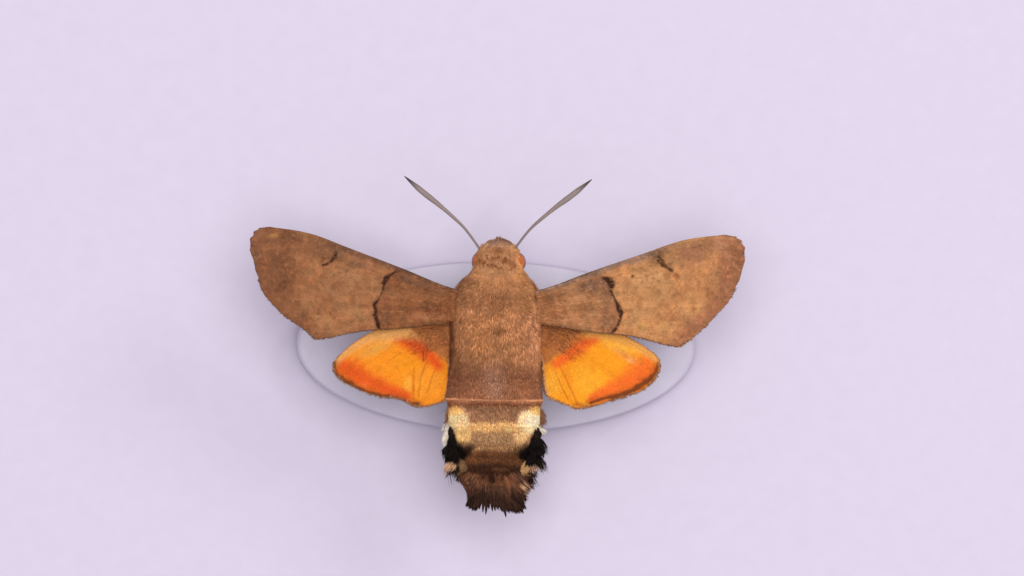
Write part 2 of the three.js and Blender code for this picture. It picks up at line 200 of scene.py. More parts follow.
# %% [markdown]
# ## Floor and light
#
# The floor is a large pale lilac sheet, and the light is that of a studio with big softboxes: one broad lamp
# nearly overhead, a smaller one from the upper right that models the fur, and a pale sky that fills the
# shadows. Large lamps give soft edges, and the tiny moth sits far below them, so the light is even.

# %% Floor
FLOOR_WIDTH = 3000.0


def plain_floor():
    """One square face at height 0, with its middle under the moth."""
    half = FLOOR_WIDTH / 2 * MM
    mesh = bpy.data.meshes.new("floor")
    corners = [(-half, -half, 0), (half, -half, 0), (half, half, 0), (-half, half, 0)]
    mesh.from_pydata(corners, [], [(0, 1, 2, 3)])
    floor = bpy.data.objects.new("floor", mesh)
    bpy.context.scene.collection.objects.link(floor)
    paper = Finish("pale paper", Roughness=0.9)
    paper.set("Base Color", paper.mixed(paper.grain(1.5, 4), paint(224, 214, 233), paint(227, 217, 236)))
    mesh.materials.append(paper.material)
    print("floor, mm across:", FLOOR_WIDTH)


plain_floor()


# %% Lamps and sky
AIM = (0, 0, 10)


def softbox(name, place, size, watts, colour=(1, 1, 1)):
    """A square lamp at `place`, turned to face the moth: its tilt is the angle between straight down and the
    way to the moth, and its turn is that way's angle as seen from above."""
    lamp = bpy.data.lights.new(name, "AREA")
    lamp.size = size * MM
    lamp.energy = watts
    lamp.color = colour
    holder = bpy.data.objects.new(name, lamp)
    holder.location = [v * MM for v in place]
    way = np.subtract(AIM, place)
    flat = np.hypot(way[0], way[1])
    holder.rotation_euler = (np.arctan2(flat, -way[2]), 0, np.arctan2(way[1], way[0]) - np.pi / 2)
    bpy.context.scene.collection.objects.link(holder)
    print(f"{name}: {size} mm wide, {watts} W")


softbox("overhead softbox", (40, 60, 760), 420, 6.45)
softbox("upper right softbox", (420, 300, 520), 240, 1.3, (1.0, 0.97, 0.93))
sky = bpy.data.worlds.new("pale studio")
sky.use_nodes = True
backdrop = sky.node_tree.nodes["Background"].inputs
backdrop["Color"].default_value = (0.86, 0.82, 0.92, 1)
backdrop["Strength"].default_value = 0.6
bpy.context.scene.world = sky
bpy.context.scene.view_settings.view_transform = "Standard"

# %% [markdown]
# ## Tools for surfaces
#
# Every new piece is a closed shell computed with numpy: rings of points carried along a path, joined by
# triangles. The helpers below make a smooth curve through a few points, the faces between rings, soft random
# patches, and at last the mesh itself with its painted colours.


# %% Small number helpers
def unit(vectors):
    """Each vector over its own length."""
    return vectors / np.maximum(np.linalg.norm(vectors, axis=-1, keepdims=True), 1e-12)


def fade(value, start, end):
    """0 before start, 1 past end, and 3t^2 - 2t^3 between. With start above end it fades the other way."""
    t = np.clip((value - start) / (end - start), 0, 1)
    return t * t * (3 - 2 * t)


def band(value, low, high, soft):
    """1 between low and high, fading to 0 over `soft` on either side."""
    return fade(value, low - soft, low + soft) * fade(value, high + soft, high - soft)


def within(span, share):
    """The place at a share of the way from a span's start to its end: start + (end - start) * share."""
    return span[0] + (span[1] - span[0]) * share


def circle(count):
    """Angles of evenly spaced points on a circle: 2 pi * number / count."""
    return 2 * np.pi * np.arange(count) / count


# %% Soft patches
# Uneven steps for the three directions, so that no two corners of the lattice share a random number.
STRIDES = np.array([12.9898, 78.233, 37.719])


def mottle(where, size, seed):
    """Patches about `size` mm across, from -1 to 1. Each corner of a lattice gets a random number, the part
    after the point of a large sine, and the numbers are blended between corners by 3t^2 - 2t^3."""
    at = np.asarray(where, float) / size + 64.0
    corner = np.floor(at)
    blend = at - corner
    blend = blend * blend * (3 - 2 * blend)
    stride = STRIDES[: at.shape[-1]]
    total = np.zeros(at.shape[:-1])
    for step in np.ndindex(*(2,) * at.shape[-1]):
        random = np.sin((corner + step) @ stride + seed * 4.137) * 43758.5453
        weight = np.where(step, blend, 1 - blend).prod(-1)
        total += weight * (2 * (random - np.floor(random)) - 1)
    return total


# %% Smooth curves
def curve(points, share):
    """Centripetal Catmull-Rom curve: each stretch between two points is a cubic, and its end slopes come from
    the neighbours, weighted by the square roots of the distances. share runs from 0 to 1."""
    points = np.asarray(points, float)
    knots = np.vstack([2 * points[0] - points[1], points, 2 * points[-1] - points[-2]])
    at = np.clip(np.asarray(share, float), 0, 1) * (len(points) - 1)
    first = np.minimum(at.astype(int), len(points) - 2)
    w = (at - first)[..., None]
    p0, p1, p2, p3 = (knots[first + i] for i in range(4))
    d0, d1, d2 = (
        np.sqrt(np.maximum(np.linalg.norm(b - a, axis=-1, keepdims=True), 1e-9))
        for a, b in ((p0, p1), (p1, p2), (p2, p3))
    )
    slope1 = ((p1 - p0) / d0 - (p2 - p0) / (d0 + d1) + (p2 - p1) / d1) * d1
    slope2 = ((p2 - p1) / d1 - (p3 - p1) / (d1 + d2) + (p3 - p2) / d2) * d1
    bend = -3 * p1 + 3 * p2 - 2 * slope1 - slope2
    return p1 + slope1 * w + bend * w**2 + (2 * p1 - 2 * p2 + slope1 + slope2) * w**3


# %% Closed shells from rings
def outward(points, faces):
    """Turns all faces round if the shell's volume, the sum of its corner products over six, is negative."""
    a, b, c = (points[faces[:, i]] for i in range(3))
    return faces if np.einsum("ij,ij->", a, np.cross(b, c)) >= 0 else faces[:, ::-1]


def shell(rings):
    """Faces of a tube with an even number of points round each ring. Each end is closed by a ladder of faces
    from the ring's first half to its second. Returns points and triangles."""
    n, m = rings.shape[:2]
    i, j = np.meshgrid(np.arange(n - 1), np.arange(m), indexing="ij")
    a, b = (i * m + j).ravel(), (i * m + (j + 1) % m).ravel()
    k = np.arange(m // 2 - 1)
    start = np.stack([k + 1, k, m - 1 - k, m - 2 - k], -1)
    end = start[:, ::-1] + (n - 1) * m
    quads = np.vstack([np.stack([a, b, b + m, a + m], -1), start, end])
    points = rings.reshape(-1, 3)
    return points, outward(points, np.vstack([quads[:, [0, 1, 2]], quads[:, [0, 2, 3]]]))


def tube(path, half_width, half_height=None, up=(0, 0, 1), sides=12):
    """A closed rod along a path. Ring point = path + across * cos * half width + lift * sin * half height."""
    half_height = half_width if half_height is None else half_height
    sizes = (half_width, half_height)
    half_width, half_height = (np.broadcast_to(size, len(path))[:, None, None] for size in sizes)
    way = unit(np.gradient(path, axis=0))
    across = unit(np.cross(way, up))[:, None]
    lift = np.cross(across, way[:, None])
    angle = (2 * np.pi * (np.arange(sides) + 0.5) / sides)[None, :, None]
    return shell(path[:, None] + across * np.cos(angle) * half_width + lift * np.sin(angle) * half_height)


def joined(parts):
    """One list of points and one of faces from many."""
    starts = np.cumsum([0] + [len(points) for points, _ in parts[:-1]])
    faces = [faces + start for (_, faces), start in zip(parts, starts)]
    return np.vstack([points for points, _ in parts]), np.vstack(faces)


# %% From arrays to a Blender object
def make_piece(name, points, faces, finish, slot, replaces=(), tone=None, unwrap=None):
    """A mesh object that rides on the body. tone is a colour for each point, and unwrap a place on the map
    that the export bakes to."""
    mesh = bpy.data.meshes.new(name)
    mesh.vertices.add(len(points))
    mesh.vertices.foreach_set("co", (points * MM).astype(np.float32).ravel())
    mesh.loops.add(faces.size)
    corners = faces.astype(np.int32).ravel()
    mesh.loops.foreach_set("vertex_index", corners)
    mesh.polygons.add(len(faces))
    mesh.polygons.foreach_set("loop_start", np.arange(0, faces.size, 3, dtype=np.int32))
    mesh.update(calc_edges=True)
    mesh.shade_smooth()
    if tone is not None:
        layer = mesh.attributes.new("tone", "FLOAT_COLOR", "POINT")
        rgba = np.ones((len(points), 4), np.float32)
        rgba[:, :3] = np.clip(tone, 0, 1)
        layer.data.foreach_set("color", rgba.ravel())
    if unwrap is not None:
        layer = mesh.uv_layers.new(name="OFBake")
        layer.data.foreach_set("uv", unwrap[corners].astype(np.float32).ravel())
    mesh.materials.append(finish.material)
    piece = bpy.data.objects.new(name, mesh)
    bpy.context.scene.collection.objects.link(piece)
    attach(piece, "root")
    if replaces:
        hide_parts(*replaces)
    print(f"{name}: {len(faces)} triangles")


# %% [markdown]
# ## The skin
#
# Under the fur a moth is a row of hard rings: a small head, a deep thorax full of flight muscle, and an
# abdomen of rings that slide over one another like a telescope. The skin is one surface of two numbers, the
# place along the body and the angle round it, so nothing has to be joined. Each cross section is an ellipse
# with its own top and bottom, and it lies a hair's depth inside the CAD solids. It replaces them all.

# %% Shape of the body
AXIS = 14.2
# Rows of: place along the body, half width, height above the middle, depth below it, rise of the middle.
BODY = np.array([
    [9.50, 0.08, 0.05, 0.05, 0.36], [9.44, 0.38, 0.18, 0.20, 0.38], [9.30, 0.70, 0.36, 0.40, 0.43],
    [8.95, 1.22, 0.76, 0.80, 0.50], [8.50, 1.60, 1.12, 1.12, 0.50], [7.90, 1.94, 1.40, 1.32, 0.50],
    [7.20, 2.10, 1.56, 1.44, 0.50], [6.40, 2.22, 1.66, 1.55, 0.45], [5.90, 2.60, 1.90, 1.88, 0.33],
    [5.50, 2.98, 2.16, 2.18, 0.20],
    [4.60, 3.50, 2.62, 2.65, 0.04], [3.40, 3.70, 2.85, 2.92, 0.00], [1.80, 3.75, 2.88, 2.88, 0.00],
    [0.20, 3.75, 2.68, 2.68, 0.00], [-1.20, 3.72, 2.52, 2.48, 0.00], [-2.60, 3.85, 2.50, 2.40, 0.00],
    [-3.80, 4.00, 2.48, 2.38, 0.00], [-4.60, 4.02, 2.42, 2.32, 0.00], [-4.90, 3.86, 2.28, 2.22, 0.00],
    [-6.40, 3.80, 2.18, 2.12, 0.00], [-8.00, 3.62, 1.98, 1.92, 0.00], [-9.40, 3.18, 1.68, 1.62, 0.00],
    [-10.5, 2.62, 1.34, 1.30, 0.00], [-11.6, 2.10, 0.88, 0.84, 0.00], [-12.6, 1.50, 0.48, 0.44, 0.00],
    [-13.1, 0.60, 0.18, 0.18, 0.00],
])
# Where the rings of the abdomen end, how far an edge stands out, and how short its step is.
RING_EDGES = (-2.85, -4.75, -6.75, -8.95, -10.85, -12.2)
RING_STEP = 0.08
RING_LIP = 0.07
# The swelling of the rings comes in between these places along the body.
ABDOMEN_START = (-1.2, -2.6)
# The head is turned a little: how far its middle lies to the right at places along the body.
HEAD_ASIDE = ([4.0, 5.5, 6.4, 8.5, 9.5], [0.0, 0.08, 0.14, 0.14, 0.25])

# The rows are read off every 0.02 mm and smoothed by a bell-shaped average over 8 neighbours on each side.
FINE_STEP = 0.02
NEIGHBOURS = 8
fine_y = np.arange(BODY[-1, 0], BODY[0, 0] + FINE_STEP / 2, FINE_STEP)
bell = np.hanning(2 * NEIGHBOURS + 1)
bell = bell / bell.sum()
body_table = np.array([
    np.convolve(np.pad(np.interp(fine_y, BODY[::-1, 0], column), NEIGHBOURS, mode="edge"), bell, "valid")
    for column in BODY[::-1, 1:].T
])
ring_knots = np.array([(edge + way * RING_LIP, way > 0) for edge in RING_EDGES[::-1] for way in (-1, 1)])
print("body, mm: length", round(np.ptp(BODY[:, 0]), 1), "and width", round(2 * body_table[0].max(), 1))


def body_point(y, angle):
    """x = half width * cos, z = axis + rise + top or bottom * sin. Each ring of the abdomen swells towards
    its rear edge and then steps in under it."""
    width, top, bottom, rise = (np.interp(y, fine_y, column) for column in body_table)
    swell = RING_STEP * np.interp(y, *ring_knots.T) * fade(y, *ABDOMEN_START)
    height = np.where(np.sin(angle) > 0, top, bottom) + swell
    x = (width + swell) * np.cos(angle) + np.interp(y, *HEAD_ASIDE)
    return np.stack([x, y + 0 * angle, AXIS + rise + height * np.sin(angle)], -1)


def body_frame(y, angle):
    """The surface point, the way out of the skin, and how far one step of angle and of y goes. The hair runs
    towards lower y, so the last is -1."""
    step = 1e-3
    point = body_point(y, angle)
    round_body = (body_point(y, angle + step) - point) / step
    along_body = (body_point(y + step, angle) - point) / step
    return point, unit(np.cross(along_body, round_body)), np.linalg.norm(round_body, axis=-1), -1.0


# %% [markdown]
# ## The markings
#
# One function says which colour the moth has at any point of its body, and the skin and the hair scales both
# read it, so a marking goes all the way down. Broad bands come first, then patches: each patch is an ellipse
# with a ragged edge, laid over what is there, as a painter would lay glazes.

# %% Patches of colour
def patch_mask(x, y, centre, size, tilt, seed, soft):
    """1 inside an ellipse, 0 outside: a point's distance from the centre, in half sizes, with soft noise
    added so that the edge wanders, fades from 1.2 to 0.75, and wider by `soft` on each side."""
    turn = np.radians(tilt)
    dx, dy = x - centre[0], y - centre[1]
    across = (dx * np.cos(turn) + dy * np.sin(turn)) / size[0]
    along = (dy * np.cos(turn) - dx * np.sin(turn)) / size[1]
    edge = np.hypot(across, along) + 0.25 * mottle(np.stack([x, y], -1), 0.5, seed)
    return fade(edge, 1.2 + soft, 0.75 - soft)


def lay_over(tone, mask, colour):
    """tone * (1 - mask) + colour * mask."""
    return tone + (colour - tone) * mask[..., None]


def lay_patches(tone, x, y, patches, soft):
    """Lays over one patch after another, each with an edge of its own."""
    for number, (cx, cy, rx, ry, tilt, strength, *colour) in enumerate(patches):
        mask = patch_mask(x, y, (cx, cy), (rx, ry), tilt, number, soft)
        tone = lay_over(tone, strength * mask, paint(*colour))
    return tone


def lay_bands(tone, place, bands):
    """Lays over one band after another: mask = fade(place, where it starts, where it is full)."""
    for start, full, *colour in bands:
        tone = lay_over(tone, fade(place, start, full), paint(*colour))
    return tone


def plain(shape, *rgb):
    """The same painted colour for every point."""
    return np.broadcast_to(paint(*rgb), (*shape, 3))


# %% Patches of the body
# Each row: centre x and y, half sizes, tilt in degrees, strength, red, green, blue.
BACK_PATCHES = [
    # The first row, at x 2.90, is painted light on the thorax's right side, which faces the light from the
    # upper right.
    (2.90, 4.60, 0.9, 1.2, 20, 0.60, 206, 148, 98), (-2.4, 3.9, 0.9, 1.0, 0, 0.35, 184, 130, 96),
    (0.10, 3.70, 0.7, 0.9, 0, 0.50, 140, 96, 64), (0.35, 1.65, 0.5, 0.35, 20, 0.60, 122, 80, 48),
    (-1.3, 1.90, 1.0, 1.0, 0, 0.40, 190, 132, 84), (2.60, 2.00, 1.2, 1.3, 0, 0.40, 192, 134, 100),
    (-1.2, 0.30, 0.9, 0.6, 0, 0.40, 194, 134, 80), (3.20, -0.6, 0.6, 0.7, 0, 0.25, 150, 102, 70),
    (-3.4, -1.6, 0.9, 1.7, 0, 0.65, 118, 78, 56), (0.00, -2.7, 0.8, 1.9, 0, 0.50, 172, 132, 112),
    (0.50, -1.6, 0.5, 0.3, 10, 0.40, 120, 80, 54), (-2.6, -3.0, 0.9, 1.2, 0, 0.40, 132, 82, 54),
    (2.60, -2.8, 1.0, 1.3, 0, 0.35, 156, 98, 62), (0.10, 8.45, 0.5, 0.22, 0, 0.65, 104, 58, 34),
    (-1.4, 7.55, 0.45, 0.28, 10, 0.55, 120, 66, 36), (-0.5, 7.25, 0.4, 0.16, 0, 0.60, 112, 62, 34),
    (0.90, 7.60, 0.5, 0.2, -10, 0.60, 116, 60, 32), (-0.2, 7.80, 0.5, 0.18, 10, 0.50, 118, 66, 36),
    (1.30, 7.25, 0.3, 0.15, 0, 0.50, 118, 64, 36), (1.50, 8.70, 0.35, 0.3, 0, 0.65, 216, 166, 118),
    (1.90, 7.60, 0.28, 0.8, 8, 0.60, 214, 152, 98), (0.40, 9.75, 0.5, 0.2, 0, 0.25, 140, 108, 92),
    (-2.2, 6.20, 0.5, 0.5, 0, 0.40, 176, 124, 92), (1.90, 6.30, 0.7, 0.5, 0, 0.45, 196, 138, 88),
    # The next two rows, at x -3.75 and -3.85, are painted shade: the dark gap between the thorax and the left
    # wing's root.
    (-3.75, 2.20, 0.28, 2.6, 0, 0.80, 92, 56, 36), (-3.85, -0.6, 0.3, 1.0, 0, 0.70, 92, 56, 36),
    # The row at x 3.40 is painted light on the thorax's right side, which faces the light from the upper
    # right.
    (0.10, 4.30, 2.6, 0.9, 0, 0.85, 142, 98, 68), (3.40, 1.50, 0.8, 2.1, 0, 0.90, 218, 156, 116),
]
PALE_PATCHES = [
    (-3.2, -6.2, 1.15, 1.15, 30, 1.0, 252, 204, 156), (3.10, -6.15, 1.25, 1.1, -30, 1.0, 255, 211, 166),
    # The right pale patch at x 3.35 is a paler core over the right one only: painted light on the side that
    # faces the light from the upper right.
    (3.35, -6.1, 0.70, 0.6, 0, 0.9, 255, 222, 192), (-3.4, -5.4, 0.6, 0.35, 0, 0.7, 238, 172, 94),
    (-2.6, -7.4, 0.6, 0.75, 0, 1.0, 230, 182, 122), (2.30, -7.4, 0.6, 0.75, 0, 1.0, 236, 187, 132),
    (3.75, -5.25, 0.65, 0.42, 0, 0.9, 242, 184, 112), (1.20, -6.9, 0.3, 0.15, 0, 0.7, 242, 202, 142),
]
REAR_PATCHES = [
    (-3.1, -8.95, 1.35, 0.85, 0, 1.0, 14, 9, 7), (-3.75, -7.6, 0.4, 0.75, 0, 1.0, 30, 20, 15),
    (3.25, -9.0, 1.20, 0.9, 0, 1.0, 14, 9, 7), (3.65, -7.7, 0.5, 0.75, 0, 1.0, 30, 20, 15),
    (-2.0, -8.6, 0.5, 0.35, 20, 0.6, 52, 32, 22), (2.10, -8.7, 0.5, 0.35, -20, 0.6, 52, 34, 24),
    (0.60, -10.4, 0.8, 0.14, 0, 0.35, 120, 80, 54), (-1.9, -9.4, 0.5, 0.25, 0, 0.5, 116, 74, 46),
    (2.80, -10.3, 0.42, 0.5, 0, 0.8, 168, 134, 92), (-2.9, -10.4, 0.42, 0.5, 0, 0.7, 108, 86, 60),
    (-1.5, -11.35, 0.9, 0.4, 0, 0.6, 106, 70, 50), (1.00, -11.45, 0.9, 0.5, 0, 0.7, 112, 70, 48),
    (2.60, -11.3, 0.4, 0.4, 0, 0.8, 58, 36, 34), (-0.1, -11.1, 0.35, 0.45, 0, 0.8, 44, 24, 14),
    (-3.1, -11.2, 0.4, 0.5, 0, 0.6, 82, 66, 48), (0.60, -12.6, 0.8, 0.5, 0, 0.5, 80, 54, 40),
    (2.75, -12.0, 0.4, 0.45, 0, 0.9, 166, 134, 108),
]
print("patches on the body:", len(BACK_PATCHES + PALE_PATCHES + REAR_PATCHES))

# %% Bands of the body
# Each row: where along the body a band starts, where it is full, red, green, blue.
BACK_BANDS = [(4.4, 5.2, 170, 121, 84), (5.9, 6.6, 170, 126, 90), (8.5, 9.0, 168, 132, 110),
              (-0.4, -1.8, 146, 100, 74)]
RING_BANDS = [(-6.2, -6.45, 216, 168, 112), (-6.9, -7.3, 164, 128, 93)]
REAR_BANDS = [(-8.7, -8.95, 102, 65, 41), (-9.7, -10.1, 60, 36, 23), (-10.7, -11.0, 94, 61, 43),
              (-11.5, -12.7, 42, 26, 19)]
BELLY_BANDS = [(-1.0, -2.6, 150, 122, 100), (-9.0, -11.0, 62, 42, 32), (6.5, 8.5, 214, 202, 188)]

# %% Colour at any point of the body
# Hairs shade one another, so their own colour is brighter and warmer than the coat looks.
FUR_GAIN = np.array([2.15, 2.0, 1.8])


def brightened(tone):
    """tone * gain, held under 1: t / (1 + t^6)^(1/6)."""
    bright = tone * FUR_GAIN
    return bright / (1 + bright**6) ** (1 / 6)


def body_tone(points):
    """Painted colour at points of the body. From above come the bands and patches of the back, then those of
    the rings and the rear. Below the side line the belly's colour takes over, and soft noise varies both."""
    x, y, z = points[..., 0], points[..., 1], points[..., 2]
    wander = 0.12 * mottle(points[..., :2], 0.7, 3)
    line = y + wander + 0.02 * x * x
    fine = mottle(points[..., :2], 0.3, 5)
    tone = lay_bands(plain(x.shape, 185, 131, 91), line, BACK_BANDS)
    tone = lay_patches(tone, x, y, BACK_PATCHES, 0.35)
    specks = fade(mottle(points[..., :2], 0.16, 6) + 0.3 * mottle(points[..., :2], 0.09, 7), 0.15, 0.6)
    tone = lay_over(tone, 0.75 * specks * band(y, 6.9, 8.2, 0.3), paint(98, 46, 26))
    tone = lay_over(tone, 0.2 * specks * fade(y, 6.6, 5.6), paint(110, 70, 44))
    pale = 0.35 + 0.65 * fade(np.abs(x), 1.0, 2.6)
    tone = lay_over(tone, 0.5 * band(y, -4.5, -4.36, 0.06) * (pale + 0.2 * fine), paint(240, 176, 138))
    tone = lay_over(tone, fade(y, -4.5, -4.62), paint(136, 86, 58))
    tone = lay_over(tone, fade(y + 0.1 * fine, -4.75, -5.0), paint(152, 112, 84))
    tone = lay_bands(tone, line, RING_BANDS)
    tone = lay_patches(tone, x, y, PALE_PATCHES, 0.05)
    tone = lay_over(tone, fade(line, -8.15, -8.5), paint(142, 106, 74))
    tone = lay_over(tone, band(line, -8.66, -8.54, 0.06) * (0.4 + 0.5 * fine), paint(196, 152, 98))
    tone = lay_bands(tone, line, REAR_BANDS)
    tone = lay_patches(tone, x, y, REAR_PATCHES, 0.05)
    under = fade(z - AXIS + 0.15 * mottle(points, 0.8, 8), -0.5, -1.3)
    tone = lay_over(tone, under, lay_bands(plain(x.shape, 206, 190, 172), y, BELLY_BANDS))
    tone = tone * (1 + 0.13 * mottle(points, 0.3, 11) + 0.12 * mottle(points, 0.9, 12))[..., None]
    return brightened(tone)


# %% The skin itself
fur_finish = Finish("hair scales", Roughness=0.6, Specular_IOR_Level=0.08)
streak = fur_finish.grain(0.05, 3, 0.82, 1.16, stretch=5)
fur_finish.set("Base Color", fur_finish.scaled(fur_finish.tone(), streak))
fur_finish.bump(fur_finish.speckle(0.03, 2, stretch=4), 0.01)

# The skin is painted darker than the hair, at 0.8 of the body's colour in the middle of each scale cell and
# 0.62 at its edge: painted shade in the gaps deep between the hairs.
skin_finish = Finish("scaled skin", Roughness=0.75, Specular_IOR_Level=0.2)
lap = skin_finish.cells(0.09).outputs["Distance"]
shade = skin_finish.between(lap, 0, 0.8, 0.8, 0.62)
skin_finish.set("Base Color", skin_finish.scaled(skin_finish.tone(), shade))
skin_finish.bump(lap, 0.03)


def skin(rows=260, sides=140):
    """body_point on a grid of places along the body and angles round it, with more rows at both ends."""
    share = np.linspace(0, 1, rows)
    along = np.interp(share, [0, 0.06, 0.95, 1], [BODY[0, 0], 9.2, -12.75, BODY[-1, 0]])
    y, angle = np.meshgrid(along, circle(sides), indexing="ij")
    points, faces = shell(body_point(y, angle))
    unwrap = np.stack([angle / (2 * np.pi), share[:, None] + 0 * angle], -1).reshape(-1, 2)
    make_piece("skin", points, faces, skin_finish, "coat", tone=body_tone(points), unwrap=unwrap,
               replaces=("head", "thorax", "abdomen_front", "abdomen_rear", "tail_fan"))


skin()

# %% [markdown]
# ## Hair scales
#
# A moth's fur is made of scales drawn out into hairs. They lie backwards, overlap like thatch and gather in
# small locks. Particle hair would be lost when the model is exported, so each tuft is a real blade: a thin
# three-sided spike whose rings shrink to a point. Thousands are computed at once from arrays. Their paths
# follow the skin's own surface, so they hug every curve and stand off only by the coat's depth.


# %% Blades from paths
# How wide a blade's patch is on the map of 0 to 1 that the export bakes to.
PATCH = 0.003


def blades(paths, up, width, thickness, swell, tone, place):
    """Three-sided blades. Each ring has a left point, a right point and a ridge: path -+ across * width / 2 *
    swell, and path + up * thickness * swell. The last path point is the tip. place is the root's spot on the
    map, where the blade gets a patch of its own. The colour is 0.8 of tone at the root, 1.1 at the tip."""
    count, steps, _ = paths.shape
    swell = np.asarray(swell, float)[None, :, None]
    way = np.gradient(paths, axis=1)[:, :-1]
    up = np.broadcast_to(up[:, None] if up.ndim == 2 else up[:, :-1], way.shape)
    across = unit(np.cross(way, up))
    half = across * (0.5 * width[:, None, None] * swell)
    ridge = up * (thickness[:, None, None] * swell)
    rings = np.stack([paths[:, :-1] - half, paths[:, :-1] + half, paths[:, :-1] + ridge], 2)
    points = np.concatenate([rings.reshape(count, -1, 3), paths[:, -1:]], 1)
    per_blade = points.shape[1]
    pattern = [(2, 1, 0)]
    for i in range(steps - 2):
        for a, b in ((0, 1), (1, 2), (2, 0)):
            pattern += [(3 * i + a, 3 * i + b, 3 * i + 3 + b), (3 * i + a, 3 * i + 3 + b, 3 * i + 3 + a)]
    last = 3 * (steps - 2)
    pattern += [(last + a, last + b, last + 3) for a, b in ((0, 1), (1, 2), (2, 0))]
    faces = (np.array(pattern)[None] + per_blade * np.arange(count)[:, None, None]).reshape(-1, 3)
    share = np.append(np.repeat(np.arange(steps - 1), 3), steps - 1) / (steps - 1)
    beside = np.append(np.tile([-0.5, 0.5, 0.0], steps - 1), 0.0)
    # Darker towards the root, 0.8 of the tone there and 1.1 at the tip: painted shade deep in the coat, where
    # other hairs shade the root.
    tones = (tone[:, None] * (0.80 + 0.30 * share)[None, :, None]).reshape(-1, 3)
    spot = np.clip(place, 0.002, 0.998)[:, None] + PATCH * np.stack([beside, share - 0.5], -1)[None]
    points = points.reshape(-1, 3)
    return points, outward(points, faces), tones, spot.reshape(-1, 2)


def joined_blades(bunches):
    """One bunch from many. A bunch is its points, faces, tones and places on the map."""
    points, faces = joined([bunch[:2] for bunch in bunches])
    tones, places = (np.vstack([bunch[i] for bunch in bunches]) for i in (2, 3))
    return points, faces, tones, places


# %% Random and even spreads
rng = np.random.default_rng(2024)
# Multiples of these two, less their whole parts, fill a square without clumps: the golden ratio's kin in 2-D.
EVEN_STEPS = np.array([0.7548776662, 0.5698402910])


def evenly(count):
    """Two rows of evenly spread numbers from 0 to 1: (0.5 + number * step) modulo 1."""
    return (0.5 + np.arange(count) * EVEN_STEPS[:, None]) % 1


def jitter(count, amount):
    """Random numbers from -amount to amount."""
    return amount * (2 * rng.random(count) - 1)


def spread(values, amount):
    """values, each varied at random by up to the share `amount`."""
    return values * (1 + jitter(len(values), amount))


# %% Roots and paths of hairs
def body_roots(count, span, arc):
    """Evenly spread places on the skin, thinned where the body is slim, in step with its girth, so that every
    part gets the same cover."""
    along, around = evenly(count)
    y, angle = within(span, along), within(arc, around)
    girth = np.interp(y, fine_y, body_table[0] + body_table[1])
    keep = rng.random(count) < girth / girth.max()
    return y[keep], angle[keep]


def hair_paths(frame_of, along, angle, length, turn, rise, steps, sink, curl):
    """Paths that run along a surface by length * cos(turn) and round it by length * sin(turn), and stand off
    it by rise * share^curl - sink. frame_of gives the surface's point, way out and reach at two numbers."""
    share = np.linspace(0, 1, steps)[None]
    _, _, round_reach, along_reach = frame_of(along, angle)
    run = along[:, None] + (length * np.cos(turn) / along_reach)[:, None] * share
    swing = angle[:, None] + (length * np.sin(turn) / np.maximum(round_reach, 0.1))[:, None] * share
    point, out, _, _ = frame_of(run, swing)
    return point + out * (rise[:, None] * share**curl - sink)[..., None], out


# %% A bunch of hairs
# An angle round the body times its mean radius is a length, so that locks are as long as they are wide.
MEAN_RADIUS = 3.0


def coat(along, angle, length, width, rise, tone, turn=0.0, lock=0.5, steps=3, swell=(0.8, 1.0), curl=1.2,
         frame_of=body_frame, sink=0.04):
    """A bunch of tufts on a surface. Locks come from soft noise that bends and lifts neighbours together.
    tone is one colour, a colour for each tuft, or a function of the point half way along it."""
    at, _, _, _ = frame_of(along, angle)
    flat = np.stack([at[:, 1], angle * MEAN_RADIUS], -1)
    length = spread(np.broadcast_to(length, along.shape), 0.25)
    turn = turn + 0.32 * mottle(flat, 0.7, 21) + jitter(len(along), 0.14)
    rise = spread(np.broadcast_to(rise, along.shape) * (1 + lock * mottle(flat, 0.45, 22)), 0.35)
    width = spread(np.broadcast_to(width, along.shape), 0.3)
    paths, out = hair_paths(frame_of, along, angle, length, turn, rise, steps, sink, curl)
    tone = tone(paths[:, steps // 2]) if callable(tone) else tone
    tone = np.broadcast_to(tone, (len(along), 3)) * spread(np.ones(len(along)), 0.16)[:, None]
    place = np.stack([(v - v.min()) / max(np.ptp(v), 1e-6) for v in (angle, along)], -1)
    return blades(paths, out, width, 0.35 * width, swell, tone, place)


def coat_piece(name, slot, *bunches, finish=fur_finish, replaces=()):
    """One mesh object from one or more bunches."""
    points, faces, tones, places = joined_blades(bunches)
    make_piece(name, points, faces, finish, slot, replaces, tones, places)


# %% [markdown]
# ### Thorax and head
#
# The hair scales of the thorax are about a millimetre long and run back from the collar. Those of the head
# are half as long. Over the brow they lie forward and come together in a wedge between the feelers, and they
# leave the eyes bare but for their rims.

# %% Fur of the thorax
# Angles round the body, from the right over the back to the left and on below.
UP_SIDE = (-0.22 * np.pi, 1.22 * np.pi)
UNDER_SIDE = (1.18 * np.pi, 1.82 * np.pi)
ALL_ROUND = (0.0, 2 * np.pi)


def thorax_fur(count, span, arc):
    """Hairs 0.9 to 1.15 mm long, fanned out a little over the front and standing off at the shoulders."""
    y, angle = body_roots(count, span, arc)
    length = 0.9 + 0.25 * fade(y, 2.0, 0.0)
    aside = -0.35 * np.sin(2 * angle) * fade(y, -1.0, 4.0)
    stand = 0.23 + 0.14 * fade(y, 3.6, 4.8) * np.abs(np.cos(angle))
    return coat(y, angle, length, 0.075, stand, turn=aside, lock=0.35, tone=body_tone)


coat_piece("fur_thorax_front", "coat", thorax_fur(15000, (2.4, 6.6), UP_SIDE))
coat_piece("fur_thorax_rear", "coat", thorax_fur(13000, (-1.6, 2.4), UP_SIDE))
coat_piece("fur_thorax_under", "coat", thorax_fur(7500, (-1.6, 6.6), UNDER_SIDE))

